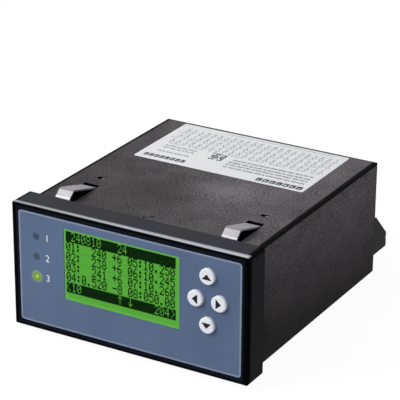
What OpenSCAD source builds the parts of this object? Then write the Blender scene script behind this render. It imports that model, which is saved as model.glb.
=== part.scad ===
// Panel-mounted earth fault detector with a backlit display, arrow keys, status lamps,
// spring clips that hold it in its panel cut-out, and plug-in terminals at the rear.
// X runs to the right as seen from the front, Y to the rear and Z up.
// The origin is the centre of the panel cut-out, in the plane of the frame's rear face.

/* [Front frame] */
// Width of the front frame
frame_w = 96; // [94:0.5:104]
// Height of the front frame
frame_h = 48; // [47:0.5:54]
// Depth of the front frame, front to back
frame_t = 10.4; // [10:0.1:14]
// Rounding of the frame's front edges
frame_edge_r = 1; // [0.4:0.1:1.4]
// Rounding of the frame's four corners, seen from the front
frame_corner_r = 1.5; // [0.4:0.1:2]
// Thickness of the front wall behind the foil
front_wall_t = 2; // [1.5:0.1:2.5]
// Gap between the frame's inside and the housing's collar
collar_gap = 0.15; // [0.05:0.05:0.3]

/* [Foil and display] */
// Bare rim of the frame to the left and right of the foil
foil_margin_x = 3; // [1.5:0.1:3.2]
// Bare rim of the frame above and below the foil
foil_margin_z = 2.7; // [1.5:0.1:3.2]
// Corner radius of the foil
foil_corner_r = 1.2; // [0.5:0.1:3]
// Thickness of the foil and of the display window in it
foil_t = 0.35; // [0.2:0.05:0.4]
// Depth of the pocket that the foil lies in
foil_recess = 0.4; // [0.4:0.05:0.6]
// Gap around the foil, the window and the glass
foil_gap = 0.1; // [0.05:0.05:0.2]
// Width of the display window
display_w = 46.6; // [40:0.2:48]
// Height of the display window
display_h = 27; // [20:0.2:28]
// Display centre, sideways from the frame's centre
display_x = -2.7; // [-4:0.1:-2]
// Display centre, above the frame's centre
display_z = 4.4; // [2:0.1:4.5]
// Thickness of the display glass
glass_t = 1.1; // [0.7:0.1:1.4]
// Thickness of the backlight behind the glass
backlight_t = 2.2; // [1.5:0.1:2.6]
// Wall of the holder around the backlight
lcd_holder_wall = 1.2; // [0.8:0.1:1.5]
// Height of the dark bars at the top and bottom of the display
lcd_bar_h = 3.6; // [2:0.1:4]
// Height of the figures on the display
lcd_figure_h = 2.4; // [1.5:0.1:2.6]
// Thickness of print on the foil, the keys, the plate and the glass
print_t = 0.03; // [0.02:0.01:0.05]

/* [Keys] */
// Diameter of a round key
key_d = 6; // [5:0.1:6.6]
// How far the keys stand out of the foil
key_proud = 1.2; // [0.6:0.1:1.6]
// Travel of a key
key_travel = 0.6; // [0.3:0.05:0.7]
// Gap between a key and its hole
key_gap = 0.2; // [0.1:0.05:0.3]
// Width of the collar that keeps a key in its hole
key_flange = 0.85; // [0.5:0.05:0.9]
// Thickness of that collar
key_flange_t = 0.8; // [0.5:0.1:1]
// Distance from the display's edge to the centre of the key cross
key_side = 11.5; // [10.9:0.1:13]
// Centre of the key cross, above the frame's centre
key_z = 4.7; // [0:0.1:5]
// Reach of the left and right keys from the cross's centre
key_reach_x = 4.6; // [4.6:0.1:4.9]
// Reach of the upper and lower keys from the cross's centre
key_reach_z = 9.1; // [8.5:0.1:10]
// Width of the printed arrow on a key
arrow_w = 3.7; // [2:0.1:4]

/* [Lamps] */
// Diameter of a lamp lens
lamp_d = 2.6; // [2:0.1:3.4]
// Lamps, sideways from the frame's centre
lamp_x = -37.7; // [-39:0.1:-36]
// Middle lamp, above the frame's centre
lamp_z = 4.7; // [2:0.1:6]
// Distance from lamp to lamp
lamp_pitch = 7.7; // [6:0.1:8]
// Height of the number beside each lamp
number_h = 2.7; // [1.5:0.1:3]
// Left edge of the numbers, right of the lamps' centres
number_side = 3.9; // [2:0.1:5]

/* [Housing] */
// Width of the housing, just under the panel cut-out
housing_w = 91.2; // [90:0.1:92]
// Height of the housing, just under the panel cut-out
housing_h = 44.8; // [44:0.1:45]
// Length of the housing behind the panel plane
housing_l = 92.5; // [89:0.5:110]
// Wall of the housing
wall = 2.2; // [1.8:0.1:2.4]
// Step from the housing's outside down to its collar
collar_step = 0.8; // [0.5:0.1:1]
// Length of the collar inside the front frame
collar_l = 4; // [3:0.1:5]
// Rounding of the housing's long edges
housing_edge_r = 1; // [0.4:0.1:1.5]
// Rounding of the housing's rear edges
housing_rear_r = 1; // [0.4:0.1:1.8]
// Thickness of the board rails and their reach from the side walls
rail = 1.4; // [1:0.1:1.8]
// Length of a latch lug on the collar
lug_l = 10; // [6:0.5:14]

/* [Type plate] */
// Width of the type plate
plate_w = 71; // [50:0.2:76]
// Length of the type plate
plate_l = 38.5; // [25:0.5:45]
// Type plate, sideways from the housing's centre
plate_x = -0.6; // [-3:0.1:3]
// Housing left bare behind the type plate
plate_margin = 2.2; // [1:0.1:4]
// Thickness of the type plate
plate_t = 0.06; // [0.04:0.01:0.1]

/* [Spring clips] */
// Width of the spring strip
clip_w = 5.9; // [5:0.1:8]
// Thickness of the spring strip
clip_t = 0.6; // [0.4:0.05:0.8]
// Height of the clip's ridge over the housing
clip_rise = 4; // [2.5:0.1:5]
// Clips, sideways from the housing's centre
clip_x = 33.7; // [28:0.1:36]
// Clip's ridge, behind the panel plane
clip_ridge_y = 3.8; // [3.4:0.1:5]
// Length of the window that the clip sinks into
clip_window_l = 20.4; // [19:0.1:24]
// Gap between the clip and the window's sides
clip_gap = 0.3; // [0.2:0.05:0.8]
// Clip's held end, behind the window
clip_tail = 6.1; // [5:0.1:8]

/* [Terminals] */
// Poles of each plug
poles = 5; // [3:1:5]
// Distance from pole to pole
pole_pitch = 5.08; // [5:0.01:5.08]
// Height of a plug
plug_h = 15.1; // [14:0.1:16]
// How far a plug stands out behind the housing
plug_out = 14.2; // [13:0.1:17]
// Chamfer with the wire entries
plug_chamfer = 8.6; // [8:0.1:9.5]
// Top of the plugs, below the housing's centre
plug_top = 2.3; // [1.5:0.1:2.6]
// Height of the plug's nose inside its socket
nose_h = 9; // [8:0.1:10]
// Depth of the nose in its socket
nose_l = 8; // [6:0.1:9]
// Wall of a socket
socket_wall = 0.8; // [0.6:0.1:0.9]
// Running gap of a plug's nose
slide_gap = 0.15; // [0.1:0.05:0.2]
// Web between two sockets
socket_web = 1.6; // [1.2:0.1:1.8]
// Diameter of a wire entry
wire_d = 3.6; // [2.5:0.1:3.8]
// Diameter of a clamp screw's head
clamp_screw_d = 3; // [2.5:0.1:3.2]
// Side of a square contact pin
pin_w = 1; // [0.6:0.1:1.2]

/* [Boards] */
// Thickness of the circuit boards
board_t = 1.6; // [1:0.1:2]
// Gap from the front wall to the front board
board_standoff = 4; // [4:0.1:4.4]
// Clear height between the main board and the upper board
board_gap = 20.3; // [19:0.1:21]
// Front edge of the two rear boards, behind the panel plane
board_y = 3; // [2:0.1:4]

/* [Earth terminal] */
// Diameter of the earth stud
stud_d = 4; // [3:0.1:5]
// Earth stud, sideways from the housing's centre
stud_x = -30; // [-34:0.5:30]
// Earth stud, above the housing's centre
stud_z = 9; // [6:0.5:12]
// Free length of the stud behind its nut
stud_free_l = 4.5; // [3:0.1:7]

/* [Hidden] */
$fn = 48;
eps = 0.01;

// Planes of the front, from the front backwards
front_y = -frame_t;
foil_seat_y = front_y + foil_recess;
foil_y = foil_seat_y - foil_t;
front_wall_y = foil_seat_y + front_wall_t;
front_board_y = front_wall_y + board_standoff;
glass_y = foil_seat_y + 4 * print_t;
backlight_y = glass_y + glass_t;
holder_floor_y = backlight_y + backlight_t;

// Insides and outsides that fit each other
inner_w = housing_w - 2 * wall;
inner_h = housing_h - 2 * wall;
collar_w = housing_w - 2 * collar_step;
collar_h = housing_h - 2 * collar_step;
cavity_w = collar_w + 2 * collar_gap;
cavity_h = collar_h + 2 * collar_gap;
lug_proud = 0.5;
lug_t = 1.6;
lug_gap = 0.2;
lug_x = 24;
foil_w = frame_w - 2 * foil_margin_x;
foil_h = frame_h - 2 * foil_margin_z;
rear_wall_y = housing_l - wall;
top_z = housing_h / 2;

// Front board, its posts and its screws
board_margin = 0.8;
front_board_w = inner_w - 2 * board_margin;
front_board_h = inner_h - 2 * board_margin;
post_d = 4.4;
post_margin_x = 3.1;
post_margin_z = 2.6;
screw_d = 1.8;
screw_gap = 0.05;
screw_head_d = 3.8;
screw_head_t = 1.4;
post_floor = 0.4;
screw_end_gap = 0.6;
screw_l = board_t + board_standoff - post_floor - screw_end_gap;
slot_w = 0.6;
slot_l = 2.4;
slot_t = 0.8;
switch_w = 6;
switch_h = 1.2;
led_w = 2;
led_h = 1;
lamp_gap = 0.1;
lamp_flange = 0.8;
lamp_flange_t = 0.8;
post_gap = 0.4;
display_edge = 0.2;

// Post places: the left pair stands between the lamps and the display
post_left_x = lamp_x + lamp_d / 2 + lamp_flange + post_gap + post_d / 2;
post_right_x = front_board_w / 2 - post_margin_x;
post_z = front_board_h / 2 - post_margin_z;
post_places = [for (x = [post_left_x, post_right_x], side = [-1, 1]) [x, side * post_z]];

// Key places: one row each for the upper, lower, left and right key
key_x = display_x + display_w / 2 + key_side;
key_places = [
    [key_x, key_z + key_reach_z], [key_x, key_z - key_reach_z],
    [key_x - key_reach_x, key_z], [key_x + key_reach_x, key_z]
];
key_stem_d = 3;
key_edge_r = 0.6;
key_end_y = front_board_y - switch_h - key_travel - eps;
lamp_places = [lamp_z + lamp_pitch, lamp_z, lamp_z - lamp_pitch];

// Terminals: the sockets line up with the plugs' noses
nose_end = 0.2;
nose_w = poles * pole_pitch + 2 * nose_end;
socket_w = nose_w + 2 * (slide_gap + socket_wall);
socket_h = nose_h + 2 * (slide_gap + socket_wall);
socket_floor = 1.7;
plug_pitch = socket_w + socket_web;
plug_gap = 0.5;
plug_w = plug_pitch - plug_gap;
plug_seat_gap = 0.1;
plug_zc = -plug_top - plug_h / 2;
plug_y0 = housing_l + plug_seat_gap;
plug_y1 = housing_l + plug_out;
plug_lip = 0.9;
socket_y1 = housing_l;
nose_y0 = plug_y0 - nose_l;
socket_y0 = nose_y0 - 0.3 - socket_floor;
cut_gap = 0.1;
pin_gap = 0.1;
pin_leg_y = socket_y0 - 3;
pin_end_y = plug_y0 - 2;
clamp_y0 = plug_y0 + 2;
clamp_d = 4.6;
clamp_w = 3.6;
clamp_h = 6;
clamp_gap = 0.1;
clamp_z1 = plug_zc - plug_h / 2 + 1.2 + clamp_h;
clamp_screw_z = plug_zc - plug_h / 2 + 2.6;
clamp_screw_shank_d = 1.8;
clamp_head_t = 1.4;
clamp_head_sunk = 0.5;
clamp_wall = 0.6;
clamp_slot_h = 2.2;
wire_depth = 9;

// Rear boards, stacked from the sockets' underside
main_board_z = plug_zc - socket_h / 2;
upper_board_z = main_board_z + board_gap;
rear_board_w = inner_w - 0.8;
rail_gap = 0.1;
main_board_l = rear_wall_y - board_y - 0.4;
upper_board_l = pin_leg_y - board_y - 1;
rail_y = board_y + 3;
rail_l = pin_leg_y - rail_y;
link_w = 30;
link_h = 6;
link_end_y = board_y + 3;
link_t = 5;
spacer_d = 5.5;
spacer_in = 7.4;
spacer_front = 11;
spacer_rear = 7;
spacer_x = inner_w / 2 - spacer_in;
spacer_y = [board_y + spacer_front, pin_leg_y - spacer_rear];

// Parts on the main board, placed from its front edge
big_h = 17;
transformer_size = [32, 27, big_h];
transformer_rim = 2;
transformer_sunk = 1;
transformer_x = -19;
transformer_y = 49;
transformer_at = [transformer_x, board_y + transformer_y];
relay_size = [12.7, 20, 15.7];
relay_foot = 1.5;
relay_lift = 0.6;
relay_x = 6.5;
relay_pitch = 15;
relay_y = 59;
relay_at = [for (i = [0, 1]) [relay_x + i * relay_pitch, board_y + relay_y]];
input_side = 11;
input_pitch = 14;
input_core_d = 4;
input_x = -9;
input_y = 22;
input_at = [input_x, board_y + input_y];
capacitor_d = 10;
capacitor_h = 16;
capacitor_groove = 0.5;
capacitor_groove_z = 2;
capacitor_x = -36;
capacitor_pitch = 11.5;
capacitor_y = 19;
rear_capacitor_x = 36;
rear_capacitor_y = 55;
capacitor_at = [
    [capacitor_x, board_y + capacitor_y],
    [capacitor_x + capacitor_pitch, board_y + capacitor_y],
    [rear_capacitor_x, board_y + rear_capacitor_y]
];
fuse_d = 5.2;
fuse_l = 20;
fuse_y = 31;
fuse_lift = 1;
fuse_at = [transformer_x, board_y + fuse_y];
fuse_z = main_board_z + fuse_lift + fuse_d / 2;
fuse_cap_l = 5;
fuse_gap = 0.05;

// Parts on the upper board
upper_top_z = upper_board_z + board_t;
processor_x = -8;
processor_y = 35;
processor_at = [processor_x, board_y + processor_y];
processor_side = 16;
processor_mark_in = 2;
processor_mark_d = 1.6;
chip_h = 1.5;
chip_mark_t = 0.2;
memory_x = 12;
memory_y = 26;
memory_at = [memory_x, board_y + memory_y];
memory_pitch = 11;
memory_w = 10;
memory_l = 6;
memory_size = [memory_w, memory_l, chip_h];
battery_d = 20;
battery_t = 3.2;
battery_x = 30;
battery_y = 47;
battery_at = [battery_x, board_y + battery_y];
battery_wall = 1.5;
battery_floor = 1;

// Clip line, along the middle of the strip: held end, ramp, ridge and foot
clip_anchor_y = clip_window_l + clip_tail;
clip_run_z = inner_h / 2 - clip_t / 2 - 0.05;
clip_dive_y = clip_window_l - 0.4;
clip_ramp_l = 2.2;
clip_ramp_y = clip_dive_y - clip_ramp_l;
clip_foot_y = 0.9;
clip_line = [
    [clip_anchor_y, top_z - 0.1],
    [clip_anchor_y, clip_run_z],
    [clip_dive_y, clip_run_z],
    [clip_ramp_y, top_z - clip_t / 2 + 0.05],
    [clip_ridge_y, top_z + clip_rise - clip_t / 2],
    [clip_foot_y, top_z + clip_rise - clip_t / 2 - 2.4],
    [clip_foot_y, top_z - 0.5]
];
clip_tab_w = 1.2;
clip_bend = 0.7;
tab_hole_w = 3.2;
tab_hole_x = -0.2;
tab_hole_l = 2.2;
clip_places = [[-1, 1], [1, 1], [-1, -1], [1, -1]];
cradle_t = 0.9;
cradle_wall = 1;

// Moulding marks in the housing's top, close behind the frame
mark_d = 1.3;
mark_depth = 0.3;
mark_places = [[-1.8, 3.9], [0.6, 5.6]];

// Earth terminal
stud_neck_r = 0.4 * stud_d;
stud_head_d = 9;
stud_head_t = 2;
washer_d = 9;
washer_t = 0.8;
nut_t = 3.2;
nut_across = 7;
stud_gap = 0.05;
stud_free_y = housing_l + washer_t + nut_t + 0.2;

// Type plate print
plate_y1 = housing_l - plate_margin;
plate_y0 = plate_y1 - plate_l;
print_z = top_z + plate_t;

// Flat shape in X and Z, run along Y from y0 to y1
module along_y(y0, y1) {
    translate([0, y1, 0]) rotate([90, 0, 0]) linear_extrude(y1 - y0) children();
}

// Flat shape in Y and Z, run along X from x0 to x1
module along_x(x0, x1) {
    translate([x0, 0, 0]) rotate([90, 0, 90]) linear_extrude(x1 - x0) children();
}

module rounded_rect(w, h, r) {
    square([w - 2 * r, h], center = true);
    square([w, h - 2 * r], center = true);
    for (x = [-1, 1], y = [-1, 1]) {
        translate([x * (w / 2 - r), y * (h / 2 - r)]) circle(r);
    }
}

// Rectangle from y0 to y1 with its own corner radius at each end
module end_rounded(w, y0, y1, r0, r1) {
    translate([-w / 2, y0 + r0]) square([w, y1 - y0 - r0 - r1]);
    translate([-w / 2 + r0, y0]) square([w - 2 * r0, 2 * r0]);
    translate([-w / 2 + r1, y1 - 2 * r1]) square([w - 2 * r1, 2 * r1]);
    for (x = [-1, 1]) {
        translate([x * (w / 2 - r0), y0 + r0]) circle(r0);
        translate([x * (w / 2 - r1), y1 - r1]) circle(r1);
    }
}

// Block whose corners, front edges and rear edges are rounded
module soft_block(w, h, y0, y1, corner_r, r0, r1) {
    intersection() {
        along_y(y0, y1) rounded_rect(w, h, corner_r);
        linear_extrude(h, center = true) end_rounded(w, y0, y1, r0, r1);
        rotate([0, 90, 0]) linear_extrude(w, center = true) end_rounded(h, y0, y1, r0, r1);
    }
}

// Box given by its centre in X and Z and its ends in Y
module slab(x, z, w, h, y0, y1) {
    translate([x - w / 2, y0, z - h / 2]) cube([w, y1 - y0, h]);
}

// Box that stands on the plane z, centred on a place
module stand(at, z, size) {
    translate([at[0] - size[0] / 2, at[1] - size[1] / 2, z]) cube(size);
}

// Round bar along Y
module rod_y(x, z, d, y0, y1) {
    translate([x, y0, z]) rotate([-90, 0, 0]) cylinder(d = d, h = y1 - y0);
}

module bezel() {
    lip = lug_proud + lug_gap;
    color([0.17, 0.17, 0.18]) {
        difference() {
            soft_block(frame_w, frame_h, front_y, 0, frame_corner_r, frame_edge_r, 0.2);
            along_y(front_wall_y, eps) square([cavity_w, cavity_h], center = true);
            along_y(front_y - eps, foil_seat_y) rounded_rect(
                foil_w + 2 * foil_gap, foil_h + 2 * foil_gap, foil_corner_r + foil_gap);
            slab(display_x, display_z, display_w + 2 * display_edge + 2 * foil_gap,
                display_h + 2 * display_edge + 2 * foil_gap, front_y, front_wall_y + eps);
            for (p = key_places) {
                rod_y(p[0], p[1], key_d + 2 * key_gap, front_y, front_wall_y + eps);
            }
            for (z = lamp_places) {
                rod_y(lamp_x, z, lamp_d + 2 * lamp_gap, front_y, front_wall_y + eps);
            }
            for (x = [-1, 1]) {
                slab(x * lug_x, 0, lug_l + 2 * lug_gap, cavity_h + 2 * lip,
                    -collar_l / 2 - lug_t / 2 - lug_gap, -collar_l / 2 + lug_t / 2 + lug_gap);
            }
        }
        for (at = post_places) {
            difference() {
                rod_y(at[0], at[1], post_d, front_wall_y, front_board_y);
                rod_y(at[0], at[1], screw_d + 2 * screw_gap, front_wall_y + post_floor,
                    front_board_y + eps);
            }
        }
    }
}

module front_foil() {
    color([0.37, 0.44, 0.56]) difference() {
        along_y(foil_y, foil_seat_y) rounded_rect(foil_w, foil_h, foil_corner_r);
        slab(display_x, display_z, display_w + 2 * foil_gap, display_h + 2 * foil_gap,
            foil_y - eps, foil_seat_y + eps);
        for (p = key_places) {
            rod_y(p[0], p[1], key_d + 2 * key_gap, foil_y - eps, foil_seat_y + eps);
        }
        for (z = lamp_places) {
            rod_y(lamp_x, z, lamp_d + 2 * lamp_gap, foil_y - eps, foil_seat_y + eps);
        }
    }
}

module display_window() {
    color([0.8, 0.95, 0.75, 0.4])
        slab(display_x, display_z, display_w, display_h, foil_y, foil_seat_y);
}

module lcd_glass() {
    color([0.45, 0.85, 0.15]) slab(display_x, display_z, display_w + 2 * display_edge,
        display_h + 2 * display_edge, glass_y, backlight_y);
}

// Upright bars and cross bars of a plain seven-stroke figure
module figure(x, z, h, strokes, y, stroke) {
    w = h * 0.55;
    rows = [h - stroke / 2, h / 2, stroke / 2];
    union() {
        for (i = [0:2]) {
            if (strokes[i] == 1) slab(x + w / 2, z + rows[i], w, stroke, y, y + print_t);
        }
        for (i = [0:1], side = [0:1]) {
            if (strokes[3 + 2 * i + side] == 1) {
                slab(x + (side == 0 ? stroke / 2 : w - stroke / 2), z + h * (0.75 - 0.5 * i),
                    stroke, h / 2 + stroke, y, y + print_t);
            }
        }
    }
}

// Dark bars at the top and bottom of the display, and a column of figures between them
module lcd_marks() {
    margin = 0.7;
    bar_w = display_w - 2 * margin - 1;
    top = display_z + display_h / 2 - margin;
    foot = display_z - display_h / 2 + 4 * margin;
    rows = 4;
    row_pitch = (top - foot - 2 * lcd_bar_h) / rows;
    left = display_x - display_w / 2 + margin;
    y = glass_y - print_t;
    color([0.08, 0.2, 0.08]) {
        slab(left + bar_w / 2, top - lcd_bar_h / 2, bar_w, lcd_bar_h, y, glass_y);
        slab(left + bar_w / 2, foot + lcd_bar_h / 2, bar_w, lcd_bar_h, y, glass_y);
        for (row = [0:rows - 1], group = [0:3]) {
            z = top - lcd_bar_h - (row + 0.5) * row_pitch - lcd_figure_h / 2;
            figure(left + 1 + group * 11.5, z, lcd_figure_h, [1, 1, 1, 1, 1, 1, 1], y, 0.4);
        }
    }
}

module backlight() {
    color([0.9, 0.95, 0.8]) slab(display_x, display_z, display_w + 2 * display_edge,
        display_h + 2 * display_edge, backlight_y, holder_floor_y);
}

module lcd_holder() {
    w = display_w + 2 * display_edge + 2 * foil_gap;
    h = display_h + 2 * display_edge + 2 * foil_gap;
    color([0.85, 0.85, 0.82]) difference() {
        slab(display_x, display_z, w + 2 * lcd_holder_wall, h + 2 * lcd_holder_wall,
            front_wall_y, front_board_y);
        slab(display_x, display_z, w, h, front_wall_y - eps, holder_floor_y);
    }
}

module front_board() {
    color([0.1, 0.35, 0.2]) difference() {
        slab(0, 0, front_board_w, front_board_h, front_board_y, front_board_y + board_t);
        for (at = post_places) {
            rod_y(at[0], at[1], screw_d + 0.4, front_board_y - eps,
                front_board_y + board_t + eps);
        }
    }
}

module board_screws() {
    y = front_board_y + board_t;
    slot_y = y + screw_head_t - slot_t;
    color([0.7, 0.7, 0.72]) for (at = post_places) {
        difference() {
            union() {
                rod_y(at[0], at[1], screw_d, y - screw_l, y + eps);
                rod_y(at[0], at[1], screw_head_d, y, y + screw_head_t);
            }
            slab(at[0], at[1], slot_w, slot_l, slot_y, y + screw_head_t + eps);
            slab(at[0], at[1], slot_l, slot_w, slot_y, y + screw_head_t + eps);
        }
    }
}

module key_switches() {
    color([0.15, 0.15, 0.15]) for (p = key_places) {
        slab(p[0], p[1], switch_w, switch_w, front_board_y - switch_h, front_board_y);
    }
}

// Round key with a rounded edge, a retaining collar and a stem
module key(p) {
    y = foil_y - key_proud;
    color([0.93, 0.93, 0.92]) {
        translate([p[0], y, p[1]]) rotate([-90, 0, 0]) rotate_extrude() {
            square([key_d / 2 - key_edge_r, key_edge_r + eps]);
            intersection() {
                translate([key_d / 2 - key_edge_r, key_edge_r]) circle(key_edge_r);
                square([key_d / 2, key_edge_r]);
            }
        }
        rod_y(p[0], p[1], key_d, y + key_edge_r, front_wall_y + eps);
        rod_y(p[0], p[1], key_d + 2 * key_flange, front_wall_y, front_wall_y + key_flange_t);
        rod_y(p[0], p[1], key_stem_d, front_wall_y, key_end_y);
    }
}

// Triangle on a key's face; it points up and is turned by the angle
module arrow(p, angle) {
    y = foil_y - key_proud;
    h = arrow_w * 0.56;
    color([0.05, 0.05, 0.05]) translate([p[0], 0, p[1]]) rotate([0, angle, 0])
        along_y(y - print_t, y)
            polygon([[-arrow_w / 2, -h / 2], [arrow_w / 2, -h / 2], [0, h / 2]]);
}

module lamp(z, tint) {
    color(tint) {
        rod_y(lamp_x, z, lamp_d, foil_y, front_board_y - led_h);
        rod_y(lamp_x, z, lamp_d + 2 * lamp_flange, front_wall_y, front_wall_y + lamp_flange_t);
    }
}

module lamp_leds() {
    color([0.9, 0.9, 0.85]) for (z = lamp_places) {
        slab(lamp_x, z, led_w, led_w, front_board_y - led_h, front_board_y);
    }
}

// The numbers 1, 2 and 3 beside the lamps
module lamp_numbers() {
    strokes = [
        [0, 0, 0, 0, 1, 0, 1],
        [1, 1, 1, 0, 1, 1, 0],
        [1, 1, 1, 0, 1, 0, 1]
    ];
    color([0.9, 0.93, 0.95]) for (i = [0:2]) {
        figure(lamp_x + number_side, lamp_places[i] - number_h / 2, number_h, strokes[i],
            foil_y - print_t, 0.36);
    }
}

// Pair of rails on both side walls that hold a board's edges
module board_rails(z) {
    for (side = [-1, 1], edge = [z - rail_gap - rail, z + board_t + rail_gap]) {
        translate([side * (inner_w / 2 - rail / 2 + eps / 2) - rail / 2 - eps / 2, rail_y, edge])
            cube([rail + eps, rail_l, rail]);
    }
}

// Bracket under the wall that carries a clip's held end
module clip_cradle() {
    w = clip_w + 2 * (clip_gap / 2 + cradle_wall);
    z0 = clip_run_z - clip_t / 2 - 0.2 - cradle_t;
    difference() {
        slab(0, (z0 + inner_h / 2 + eps) / 2, w, inner_h / 2 + eps - z0,
            clip_anchor_y - 0.9, clip_anchor_y + 0.9);
        slab(0, z0 + cradle_t + clip_t, clip_w + clip_gap, 2 * clip_t, clip_anchor_y - 1,
            clip_anchor_y + 1);
    }
}

// Window for a clip, and the small hole that its tab shows in
module clip_openings() {
    slab(0, top_z, clip_w + 2 * clip_gap, 4 * wall, 0, clip_window_l);
    slab(tab_hole_x, top_z, tab_hole_w, 4 * wall, clip_anchor_y - tab_hole_l / 2,
        clip_anchor_y + tab_hole_l / 2);
}

module at_clips() {
    for (p = clip_places) {
        translate([p[0] * clip_x, 0, 0]) mirror([0, 0, p[1] > 0 ? 0 : 1]) children();
    }
}

module housing() {
    color([0.24, 0.235, 0.24]) {
        difference() {
            union() {
                soft_block(housing_w, housing_h, 0, housing_l, housing_edge_r, 0.3,
                    housing_rear_r);
                along_y(-collar_l, 1) rounded_rect(collar_w, collar_h, 0.5);
                for (x = [-1, 1]) {
                    slab(x * lug_x, 0, lug_l, collar_h + 2 * lug_proud,
                        -collar_l / 2 - lug_t / 2, -collar_l / 2 + lug_t / 2);
                }
            }
            slab(0, 0, inner_w, inner_h, -collar_l - eps, rear_wall_y);
            at_clips() clip_openings();
            for (at = mark_places) {
                translate([at[0], at[1], top_z - mark_depth]) cylinder(d = mark_d, h = 1);
            }
            for (i = [-1:1]) {
                slab(i * plug_pitch, plug_zc, socket_w + 2 * cut_gap, socket_h + 2 * cut_gap,
                    rear_wall_y - eps, housing_l + eps);
            }
            rod_y(stud_x, stud_z, stud_d + 0.4, rear_wall_y - eps, housing_l + eps);
        }
        at_clips() clip_cradle();
        board_rails(main_board_z - board_t);
        board_rails(upper_board_z);
    }
}

module type_plate() {
    color([0.93, 0.94, 0.95]) translate([plate_x, (plate_y0 + plate_y1) / 2, top_z])
        linear_extrude(plate_t) rounded_rect(plate_w, plate_l, 0.8);
}

// Ruled lines, a wiring block and a heading bar in place of the print on the plate
module type_plate_print() {
    margin = 3;
    line_t = 0.5;
    terminal_pitch = 7.4;
    terminal_inset = 10;
    right = plate_x + plate_w / 2 - margin;
    left = plate_x - plate_w / 2 + margin;
    color([0.25, 0.25, 0.27]) {
        for (i = [0:6]) {
            w = i % 3 == 2 ? 20 : 28;
            translate([right - w, plate_y0 + margin + i * 2.2, print_z])
                cube([w, line_t, print_t]);
        }
        for (i = [0:3]) {
            translate([left, plate_y0 + margin + i * 3, print_z])
                cube([14, 0.8, print_t]);
        }
        for (i = [0:7]) {
            translate([left + 4 + i * terminal_pitch, plate_y1 - terminal_inset - margin, print_z])
                cube([5, 6, print_t]);
        }
        translate([left + 22, plate_y0 + margin, print_z]) cube([7, 7, print_t]);
    }
}

// Clip line with its corners eased by short curves
function eased(line, reach) = concat([line[0]], [
    for (i = [1:len(line) - 2]) let (
        a = line[i] + unit(line[i - 1] - line[i]) * reach,
        b = line[i] + unit(line[i + 1] - line[i]) * reach
    ) for (t = [0:0.125:1]) (1 - t) * (1 - t) * a + 2 * t * (1 - t) * line[i] + t * t * b
], [line[len(line) - 1]]);

function unit(v) = v / norm(v);

function left_of(v) = [-v[1], v[0]];

// Points of a line moved sideways by d, with mitred corners
function beside(line, d) = [
    for (i = [0:len(line) - 1]) let (
        into = left_of(unit(line[max(i, 1)] - line[max(i, 1) - 1])),
        out = left_of(unit(line[min(i, len(line) - 2) + 1] - line[min(i, len(line) - 2)])),
        mitre = unit(into + out)
    ) line[i] + mitre * d / (mitre * into)
];

function turned_round(points) = [for (i = [len(points) - 1:-1:0]) points[i]];

// Bent spring strip; its narrow tab stands up into the small hole behind the window
module clip(place) {
    line = eased(clip_line, clip_bend);
    side = [-clip_w / 2 - 1, clip_tab_w];
    color([0.72, 0.71, 0.72]) translate([place[0] * clip_x, 0, 0])
        mirror([0, 0, place[1] > 0 ? 0 : 1]) difference() {
            along_x(-clip_w / 2, clip_w / 2) polygon(
                concat(beside(line, clip_t / 2), turned_round(beside(line, -clip_t / 2))));
            for (x = side) {
                translate([x, clip_anchor_y - 2 * clip_t, clip_run_z + clip_t / 2])
                    cube([x < 0 ? -x : clip_w, 3 * clip_t, top_z]);
            }
        }
}

module rear_board(z, l) {
    color([0.1, 0.38, 0.22])
        stand([0, board_y + l / 2], z, [rear_board_w, l, board_t]);
}

module board_spacers() {
    color([0.8, 0.75, 0.5]) for (x = [-1, 1], y = spacer_y) {
        translate([x * spacer_x, y, main_board_z]) cylinder(d = spacer_d, h = board_gap, $fn = 6);
    }
}

// Plug strip from the back of the front board to the main board
module front_link() {
    color([0.12, 0.12, 0.12]) slab(0, main_board_z + link_h / 2, link_w, link_h,
        front_board_y + board_t, link_end_y);
}

module board_link() {
    color([0.12, 0.12, 0.12])
        stand([0, link_end_y + 2 + link_t / 2], main_board_z, [link_w, link_t, board_gap]);
}

function pole_x(i) = (i - (poles - 1) / 2) * pole_pitch;

// Sockets on the main board's rear edge, open to the rear
module headers() {
    pin_hole = pin_w + 2 * pin_gap;
    color([0.1, 0.1, 0.1]) for (i = [-1:1]) {
        difference() {
            slab(i * plug_pitch, plug_zc, socket_w, socket_h, socket_y0, socket_y1);
            slab(i * plug_pitch, plug_zc, nose_w + 2 * slide_gap, nose_h + 2 * slide_gap,
                socket_y0 + socket_floor, socket_y1 + eps);
            for (j = [0:poles - 1]) {
                slab(i * plug_pitch + pole_x(j), plug_zc, pin_hole, pin_hole,
                    socket_y0 - eps, socket_y0 + socket_floor + eps);
            }
        }
    }
}

// Square pins through the sockets' floors, each with a leg down to the board
module header_pins() {
    color([0.8, 0.7, 0.4]) for (i = [-1:1], j = [0:poles - 1]) {
        x = i * plug_pitch + pole_x(j);
        union() {
            slab(x, plug_zc, pin_w, pin_w, pin_leg_y, pin_end_y);
            translate([x - pin_w / 2, pin_leg_y, main_board_z])
                cube([pin_w, pin_w, plug_zc - main_board_z]);
        }
    }
}

// Side view of a plug's body: flat top, chamfer with the wire entries, grooved rear face
module plug_profile() {
    z0 = plug_zc - plug_h / 2;
    z1 = plug_zc + plug_h / 2;
    slope_y = plug_y1 - plug_lip;
    step_z = z1 - plug_chamfer - plug_lip;
    groove_z = z0 + 3.6;
    polygon([
        [plug_y0, z0], [plug_y1 - 0.4, z0], [plug_y1, z0 + 0.4],
        [plug_y1, groove_z - 0.4], [plug_y1 - 0.6, groove_z], [plug_y1, groove_z + 0.4],
        [plug_y1, step_z], [slope_y, step_z + plug_lip],
        [slope_y - plug_chamfer, z1], [plug_y0, z1]
    ]);
}

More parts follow.
